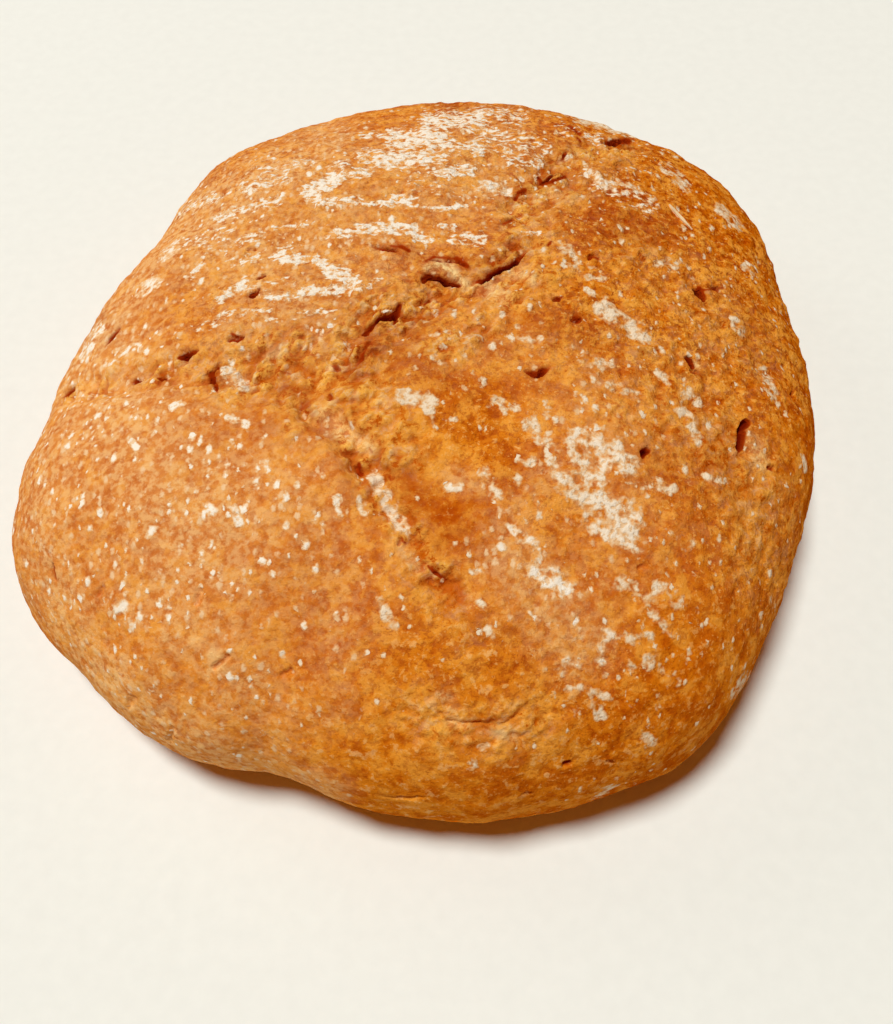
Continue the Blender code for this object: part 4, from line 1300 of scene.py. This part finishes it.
class LOAF_OT_husk(bpy.types.Operator):
    """Lays a pale sliver of husk on the crust"""

    bl_idname = "loaf.husk"
    bl_label = "Husk"

    def execute(self, context):
        look = context.scene.flour_look
        middles = [on_crust(*place) for place in HUSK]
        bm = bmesh.new()
        rows = []
        for i, (point, normal) in enumerate(middles):
            before = middles[max(i - 1, 0)][0]
            after = middles[min(i + 1, len(middles) - 1)][0]
            side = np.cross(after - before, normal)
            side *= look.husk_width / 2 * HUSK_SHARES[i] / np.linalg.norm(side)
            top = point + normal * HUSK_RISE * (HUSK_LEAST_RISE + HUSK_SHARES[i])
            low = point - normal * HUSK_RISE
            corners = (low - side, top - side, top + side, low + side)
            rows.append([bm.verts.new(corner) for corner in corners])
        for first, second in zip(rows, rows[1:]):
            for i in range(len(first)):
                following = (i + 1) % len(first)
                bm.faces.new((first[i], first[following], second[following], second[i]))
        for end in (rows[0], rows[-1]):
            bm.faces.new(end)
        bmesh.ops.recalc_face_normals(bm, faces=bm.faces[:])
        mesh = bpy.data.meshes.new("pale_husk")
        bm.to_mesh(mesh)
        bm.free()
        piece = new_object("pale_husk", mesh, plain_material("husk", look.husk, *HUSK_SURFACE))
        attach(piece, "root")
        return {"FINISHED"}


class LOAF_OT_stage(bpy.types.Operator):
    """Adds the pale floor, the soft light and the camera"""

    bl_idname = "loaf.stage"
    bl_label = "Stage"

    def execute(self, context):
        look = context.scene.stage_look
        bm = bmesh.new()
        bmesh.ops.create_grid(bm, x_segments=1, y_segments=1, size=FLOOR_HALF_SIZE)
        mesh = bpy.data.meshes.new("floor")
        bm.to_mesh(mesh)
        bm.free()
        floor = new_object("floor", mesh, plain_material("floor_paper", look.floor, *FLOOR_SURFACE))
        floor.location.z = -FLOOR_BELOW
        add_lights(look)
        add_camera(context)
        return {"FINISHED"}


def add_area_light(name, place, aim, size, power, tint):
    lamp = bpy.data.lights.new(name, "AREA")
    lamp.shape = "DISK"
    lamp.size = size
    lamp.energy = power
    lamp.color = tint
    made = bpy.data.objects.new(name, lamp)
    made.location = place
    made.rotation_euler = (Vector(aim) - Vector(place)).to_track_quat("-Z", "Y").to_euler()
    bpy.context.scene.collection.objects.link(made)


def add_lights(look):
    sun = bpy.data.lights.new("key", "SUN")
    sun.energy = look.key
    sun.angle = KEY_SPREAD
    sun.color = KEY_TINT
    made = bpy.data.objects.new("key", sun)
    made.rotation_euler = (-Vector(KEY_FROM)).to_track_quat("-Z", "Y").to_euler()
    bpy.context.scene.collection.objects.link(made)
    add_area_light("side", SIDE_FROM, SIDE_AIM, SIDE_SIZE, look.side, SIDE_TINT)
    world = bpy.data.worlds.new("soft sky")
    bpy.context.scene.world = world
    world.use_nodes = True
    sky = world.node_tree.nodes["Background"]
    sky.inputs["Color"].default_value = (*SKY_TINT, 1.0)
    sky.inputs["Strength"].default_value = look.sky


def add_camera(context):
    camera = bpy.data.cameras.new("camera")
    camera.sensor_width = SENSOR
    camera.lens = focal_pixels() / PICTURE_SIZE[1] * SENSOR
    camera.clip_start = NEAREST_SEEN
    made = bpy.data.objects.new("camera", camera)
    made.location = camera_frame()[0]
    made.rotation_euler = (math.pi / 2 - CAMERA_ELEVATION, 0, 0)
    context.scene.collection.objects.link(made)
    context.scene.camera = made
    context.scene.view_settings.view_transform = "Standard"


class LOAF_PT_panel(bpy.types.Panel):
    """Lists the loaf's pieces and what may be changed"""

    bl_label = "Sourdough loaf"
    bl_idname = "LOAF_PT_panel"
    bl_space_type = "VIEW_3D"
    bl_region_type = "UI"
    bl_category = "Loaf"

    def draw(self, context):
        for operator, groups in PANEL_ROWS:
            self.layout.operator(operator.bl_idname)
            for group in groups:
                values = getattr(context.scene, group)
                for name in values.bl_rna.properties.keys():
                    if name not in ("rna_type", "name"):
                        self.layout.prop(values, name)


PANEL_ROWS = (
    (LOAF_OT_crust, ("loaf_form", "crust_look")),
    (LOAF_OT_husk, ("flour_look",)),
    (LOAF_OT_stage, ("stage_look",)),
)
CLASSES = (
    LoafForm, CrustLook, FlourLook, StageLook,
    LOAF_OT_crust, LOAF_OT_husk, LOAF_OT_stage, LOAF_PT_panel,
)
GROUPS = {
    "loaf_form": LoafForm, "crust_look": CrustLook, "flour_look": FlourLook, "stage_look": StageLook,
}


def register():
    for cls in CLASSES:
        bpy.utils.register_class(cls)
    for name, group in GROUPS.items():
        setattr(bpy.types.Scene, name, PointerProperty(type=group))


def unregister():
    for name in GROUPS:
        delattr(bpy.types.Scene, name)
    for cls in reversed(CLASSES):
        bpy.utils.unregister_class(cls)


def main():
    register()
    bpy.ops.loaf.stage()
    bpy.ops.loaf.crust()
    bpy.ops.loaf.husk()


if __name__ == "__main__":
    main()
